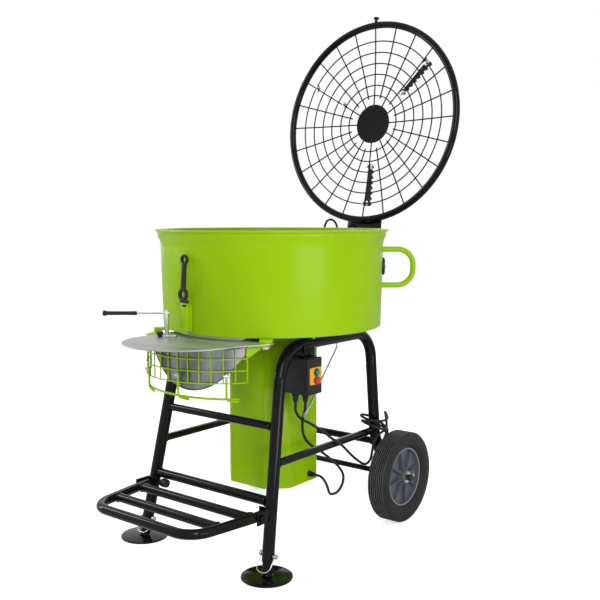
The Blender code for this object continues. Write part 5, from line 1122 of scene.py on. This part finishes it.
def make_guard():
    """Welded wire guard with its straps, and the lugs and bolts it hangs on."""
    low = GUARD_BASE_Z + GUARD_LAYER
    levels = [low + (GUARD_TOP_Z - low) * i / 3 for i in range(4)]
    coarse, fine = ([GUARD_HALF * (2 * i / n - 1) for i in range(n + 1)] for n in (14, 56))
    uprights = [[around(a, GUARD_R, z, GUARD_Y) for z in (GUARD_BASE_Z, GUARD_TOP_Z)] for a in coarse]
    rows = [[around(a, GUARD_R + GUARD_LAYER, z, GUARD_Y) for a in fine] for z in levels]
    parts = [bars(uprights + rows, 0.0021, 10)]
    lugs, bolts = [], []
    for side, lug_half in ((1, 0.02), (-1, 0.0145)):
        bolt = Vector((side * GATE_PIVOT.x, GATE_PIVOT.y, 0))
        along = around(side * GUARD_HALF, GUARD_R, 0, GUARD_Y) - bolt
        length = along.length + 0.004
        heading = Matrix.Rotation(atan2(along.y, along.x), 4, "Z")
        place = at(bolt + up(GUARD_TOP_Z)) @ heading
        parts.append(slab(tongue(0.015, length, 16), 0.005, place, (circle((0, 0), BOLT_HOLE_R, 24),)))
        gusset = [(0.01, -0.006), (length, -0.006), (length, -0.03), (length - 0.01, -0.034)]
        parts.append(slab(gusset, 0.003, place @ UPRIGHT))
        inward = Matrix.Rotation(atan2(-bolt.y, -bolt.x), 4, "Z")
        place = at(bolt + up((LUG_BASE_Z + UNDERSIDE_Z) / 2)) @ inward
        lugs.append(slab(tongue(lug_half, 0.08, 20), UNDERSIDE_Z - LUG_BASE_Z, place))
        if side < 0:
            lugs.append(bars([[bolt + up(GATE_BASE_Z), bolt + up(0.702)]], 0.013, 32))
        bolts.append(bars([[bolt + up(0.682), bolt + up(0.7)]], 0.006, 20))
        bolts.append(hex_bolt(bolt + up(TAB_BASE_Z), (0, 0, -1), 0.018, 0.0085))
    add("guard_wires", parts, "green_coat", "outlet_guard", crease=50)
    add("outlet_lugs", lugs, "green_coat", "outlet_lug_right", "outlet_lug_left")
    add("outlet_bolts", bolts, "zinc")


def on_hoop(degrees, lift=0.0, out=0.0):
    """A point on the sloping hoop below the guard."""
    spot = around(radians(degrees), GUARD_R + out, HOOP_Z + lift, GUARD_Y)
    return spot - up(HOOP_TILT * spot.x)


def make_chute():
    """Curved chute sheet inside the guard, and the hoop below with its rods and clamps."""
    sheet = bmesh.new()
    bmesh.ops.create_grid(sheet, x_segments=72, y_segments=10, size=0.5)
    for vert in sheet.verts:
        share = 2 * vert.co.x
        depth = 0.01 + 0.118 * (1 - share**2)
        drop = (0.5 - vert.co.y) * depth
        vert.co = around(radians(20 + 41 * share), 0.2364, TAB_BASE_Z - drop, GUARD_Y)
    bmesh.ops.recalc_face_normals(sheet, faces=sheet.faces)
    # The chute's coat carries painted shade and reflection streaks
    thicken(add("chute_sheet", [sheet], "chute_steel", "chute_apron", crease=60), 0.002, 0.0)

    paths = [[on_hoop(-27 + 81 * i / 40) for i in range(41)]]
    wing = mm((-14, 6), (-4, -3), (4, -3), (14, 6), (5, 4), (-5, 4))
    clamps = []
    for degrees in (-25.0, 10.0, 45.0):
        angle = radians(degrees)
        high = around(angle, GUARD_R + 0.0062, GUARD_BASE_Z + 0.03, GUARD_Y)
        hook = [high, on_hoop(degrees, -0.004, 0.005), on_hoop(degrees + 8.5, -0.007, 0.004)]
        paths.append(rounded(hook, 0.012, 6))
        seat = around(angle, GUARD_R + 0.009, GUARD_BASE_Z + 0.024, GUARD_Y)
        outward = around(angle, 1, 0)
        clamps.append(hex_bolt(seat, outward, 0.009, 0.005))
        clamps.append(slab(wing, 0.0025, aimed(seat + outward * 0.008, outward)))
    add("guard_hoop", [bars(paths, 0.0036, 14)], "green_coat", "outlet_hoop", crease=50)
    add("hoop_clamps", clamps, "zinc")


def make_switch_box():
    """Switch box with its lid, yellow plate, buttons and cable glands."""
    half = Vector((BOX_SIZE.x / 2, 0, 0))
    shell = Vector((0.014, 0, 0))
    parts = [
        block(BOX_SIZE - shell, BOX_MID - shell / 2, 0.006, segments=5),
        block((0.0125, BOX_SIZE.y, BOX_SIZE.z), BOX_MID + half - Vector((0.00625, 0, 0)), 0.004, segments=4),
    ]
    add("switch_case", parts, "black_plastic", "switch_box")
    face = BOX_MID + half
    spots = [face + Vector((0, y, z)) for y in (-0.029, 0.029) for z in (-0.05, 0.05)]
    head = (0, 1.6), (2.6, 1.6), (3.4, 0.6), (3.4, 0), (0, 0)
    screws = [turned(spot, (1, 0, 0), 24, *head) for spot in spots]
    add("switch_case_screws", screws, "black_plastic")

    corners = mm((-29.5, -27, 0), (29.5, -27, 0), (29.5, 27, 0), (-29.5, 27, 0))
    place = at((face.x + 0.0018, BOX_MID.y, PANEL_Z)) @ TO_SIDE
    holes = [circle((BUTTON_Y - BOX_MID.y, z - PANEL_Z), 0.0093, 40) for z in (START_Z, STOP_Z)]
    plate = slab(rounded(corners, 0.004, 5, True), 0.003, place, holes, 0.0006)
    add("switch_plate", [plate], "yellow", "switch_panel")
    start, stop = (Vector((PANEL_FACE_X, BUTTON_Y, z)) for z in (START_Z, STOP_Z))
    rings = [
        turned(spot, (1, 0, 0), 48, (9.3, rise), (11.2, rise), (11.8, rise - 0.5), (11.8, 0), (9.3, 0))
        for spot, rise in ((start, 4), (stop, 0.8))
    ]
    add("button_rings", rings, "black_plastic")
    cap = turned(
        start, (1, 0, 0), 40, (0, 6.2), (6.6, 6.2), (7.4, 7.8), (8.2, 8), (8.8, 7), (8.8, 1.2), (0, 1.2)
    )
    add("start_cap", [cap], "start_green", "start_button", body="start")
    cap = turned(
        stop, (1, 0, 0), 40,
        (0, 11), (8, 10.8), (11.2, 10), (12.2, 8.6), (12.2, 6), (11.4, 5.2), (8.8, 5), (8.8, 1.2), (0, 1.2),
    )
    add("stop_cap", [cap], "stop_red", "stop_button", body="stop")

    dome = mm((0, -10), (9.5, -10), (9.5, -13.5), (8.8, -14.5), (8.8, -22), (7.4, -26.5), (5, -30), (0, -30))
    for name, spot in (("mains_gland", MAINS_GLAND), ("motor_gland", MOTOR_GLAND)):
        nut = moved(hexagon(0.0118, 0.011, 0.0008), at(up(-0.0055)))
        place = at((*spot, GLAND_TOP_Z))
        add(name + "_body", [nut, lathe(dome, 32)], "black_plastic", name, place=place)


def make_stay():
    """Thin rod from the bearer tube with the eye that gathers the leads."""
    top = Vector((0.224, 0.066, TOP_TUBE_Z - 0.0187))
    bends = mm((232, -30, 545), (246.5, -100, 486), (246.5, -139, 448))
    route = smooth_route([top - up(0.012), *bends], 0.012)
    tip = route[-1]
    along = (tip - route[-2]).normalized()
    rod = bars([[top, *route[:-1], tip - along * 0.008]], 0.003)
    eye = turned(tip - along * 0.002, (1, 0.2, 0), 32, (4.2, 1.6), (7.8, 1.6), (7.8, -1.6), (4.2, -1.6))
    add("lead_rod", [rod, eye], "zinc", "lead_stay")


def cord(name, route):
    """A rubber lead as one open curve in its place."""
    curve = new_curve(name, "3D", [[SHIFT @ place for place in route]], False)
    curve.bevel_depth = LEAD_R
    curve.bevel_resolution = 4
    curve.use_fill_caps = True
    curve.splines[0].use_smooth = True
    return shown(name, curve, "rubber", "chassis")


def coil_turns(base, middle):
    """Loose turns of the mains lead round the rear leg, from a height up."""
    count = round(COIL_TURNS * 40)
    turns = []
    for i in range(count + 1):
        angle = tau * COIL_TURNS * i / count
        ease = sin(pi * i / count)
        tilt = COIL_TILT * ease * cos(angle - radians(218))
        loose = COIL_R + 0.0035 * ease * sin(1.37 * angle + 0.6)
        lift = base + COIL_PITCH * angle / tau + tilt
        turns.append(middle + Vector((loose * cos(angle), loose * sin(angle), lift)))
    return turns


def make_leads():
    """Mains lead coiled on the rear leg with its plug, and the motor lead to the housing."""
    mains_points = mm(
        (206, -132, 455), (211, -113, 429), (224, -76, 406), (241, -38, 378), (256, -4, 348), (269, 34, 319),
        (270, 94, 270), (269.5, 150, 233), (269, 182, 224), (269.5, 205, 237), (271.5, 210.5, 262),
        (278, 210.5, 292), (286.5, 219.5, 316.5),
    )
    motor_points = mm(
        (229, -114, 458), (223, -118, 425), (217, -107, 378), (210, -66, 336), (207, 0, 296), (204, 61, 255),
        (200, 114, 214), (195, 146, 178), (189, 150, 145), (184, 131, 121.5), (184, 104, 119.5),
        (191, 75, 129), (201, 53, 146), (205, 39, 167), (199, 32, 187), (185, 30, 198.5),
    )
    tail_points = mm((262, 309.5, 377.5), (247, 329, 375), (238, 348, 357), (235, 359, 331))
    plug_top = Vector((0.235, 0.361, 0.3))
    coil_base = SIDE_BAR_Z + BAR_R + LEAD_R + 0.0006 - 0.75 * COIL_PITCH
    coil_mid = Vector((frame_x(coil_base), REAR_LEG_Y, 0))
    turns = coil_turns(coil_base, coil_mid)
    out_z = GLAND_END_Z - 2 * LEAD_R
    straight = Vector((0, 2 * LEAD_R, 0))
    run_in = turns[0] - straight
    run_out = turns[-1] + (turns[-1] - turns[-2]).normalized() * 2 * LEAD_R
    start = Vector((*MAINS_GLAND, GLAND_END_Z))
    first = smooth_route([(*MAINS_GLAND, out_z), *mains_points, run_in - straight], LEAD_STEP)
    tail = smooth_route([run_out, *tail_points, plug_top], LEAD_STEP)
    mains = cord("mains_cord", [start, *first, run_in, *turns, *tail])
    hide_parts("mains_lead", "mains_coil")

    grip = mm(
        (0, 0), (6.4, 0), (7.2, -12), (8.8, -14), (9.2, -20), (12, -22), (13.6, -30), (17, -46), (20.5, -56),
        (23.5, -62), (24, -66), (24, -96), (23, -99.5), (0, -99.5),
    )
    pins = [bars([mm((x, 0, -98.5), (x, 0, -99.8))], 0.0024, 20) for x in (-9.5, 9.5)]
    place = at(plug_top)
    plug = add("plug_body", [lathe(grip, 48), *pins], "black_plastic", "plug", place=place)

    heading = Vector((cos(TIE_ANGLE), sin(TIE_ANGLE), 0))
    near, far = (coil_mid + heading * (COIL_R + off) for off in (-0.0062, 0.0062))
    tie_low = coil_base + COIL_PITCH * (1 + TIE_ANGLE / tau) - 0.0095
    tie_high = tie_low + COIL_PITCH + 0.0124
    corners = [near + up(tie_low), far + up(tie_low), far + up(tie_high), near + up(tie_high)]
    add("lead_tie", [bars([rounded(corners, 0.004, 5, True)], 0.0013, 10, True)], "black_plastic")

    entry = ENTRY + Vector((ENTRY_LENGTH, 0, 0))
    begin = Vector((*MOTOR_GLAND, GLAND_END_Z))
    last = entry + Vector((2 * LEAD_R, 0, 0))
    route = smooth_route([(*MOTOR_GLAND, out_z), *motor_points, last], LEAD_STEP)
    motor = cord("motor_cord", [begin, *route, entry])
    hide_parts("motor_lead")


def math_node(nodes, operation):
    """A new node that reckons with two values."""
    node = nodes.new("ShaderNodeMath")
    node.operation = operation
    return node


def make_stage():
    """Pale floor, soft light and the camera at the photograph's angle."""
    scene = bpy.context.scene
    ground = bmesh.new()
    bmesh.ops.create_circle(ground, cap_ends=True, segments=96, radius=14.0)
    mesh = bpy.data.meshes.new("floor")
    ground.to_mesh(mesh)
    ground.free()
    floor = placed("floor", mesh)
    pale = bpy.data.materials.new("pale_floor")
    pale.use_nodes = True
    nodes = pale.node_tree.nodes
    shader = nodes["Principled BSDF"]
    socket_values(shader, Base_Color=(0.96, 0.96, 0.96, 1), Roughness=0.9, Specular_IOR_Level=0.0)
    socket_values(shader, Emission_Color=(1, 1, 1, 1))
    path = nodes.new("ShaderNodeLightPath")
    glow = math_node(nodes, "MULTIPLY")
    glow.inputs[1].default_value = FLOOR_GLOW
    wire(pale.node_tree, (path, "Is Camera Ray", glow, 0), (glow, "Value", shader, "Emission Strength"))
    mesh.materials.append(pale)

    world = bpy.data.worlds.new("studio")
    scene.world = world
    world.use_nodes = True
    nodes = world.node_tree.nodes
    sky = nodes["Background"]
    path = nodes.new("ShaderNodeLightPath")
    seen = math_node(nodes, "MAXIMUM")
    mirrored = math_node(nodes, "MAXIMUM")
    level = nodes.new("ShaderNodeMapRange")
    socket_values(level, To_Min=SKY_LIGHT, To_Max=1.0)
    socket_values(sky, Color=(1, 1, 1, 1))
    wire(
        world.node_tree,
        (path, "Is Camera Ray", seen, 0),
        (path, "Is Transmission Ray", seen, 1),
        (seen, "Value", mirrored, 0),
        (path, "Is Glossy Ray", mirrored, 1),
        (mirrored, "Value", level, "Value"),
        (level, "Result", sky, "Strength"),
    )

    lamps = (
        ("key", (2.9, -2.6, 2.8), (0.9, 2.2), 60.0),
        ("side", (-3.2, -1.6, 2.0), (0.5, 2.4), 58.0),
        ("back", (-1.6, 3.2, 3.0), (2.2, 2.2), 42.0),
        ("low", (2.8, -0.7, 0.6), (1.4, 0.6), 14.0),
    )
    for name, spot, size, power in lamps:
        lamp = bpy.data.lights.new(name, "AREA")
        lamp.shape = "RECTANGLE"
        lamp.size, lamp.size_y = size
        lamp.energy = power
        holder = placed(name, lamp)
        holder.location = spot
        holder.rotation_euler = (up(0.7) - Vector(spot)).to_track_quat("-Z", "Y").to_euler()

    lens = bpy.data.cameras.new("camera")
    lens.lens = CAMERA_LENS
    lens.sensor_width = 36.0
    camera = placed("camera", lens)
    camera.location = SHIFT @ CAMERA_SPOT
    camera.rotation_euler = (radians(90 - CAMERA_DOWN), 0, radians(CAMERA_TURN))
    scene.camera = camera
    scene.view_settings.view_transform = "Standard"


def dress_solids():
    """Gives each solid that stays in view the finish of its own slot."""
    slots = {part["node"]: part["material_slot"] for part in frame["record"]["subparts"]}
    for name, obj in frame["nodes"].items():
        obj.data.materials.clear()
        obj.data.materials.append(COATS[slots[name]])


make_stage()
dress_solids()
make_leads()
make_drum()
make_housing()
make_rotor()
make_frame()
make_wheels()
make_feet()
make_rack()
make_lid()
make_lid_hinge()
make_lid_switch()
make_handles()
make_strap()
make_gate()
make_guard()
make_chute()
make_switch_box()
make_stay()
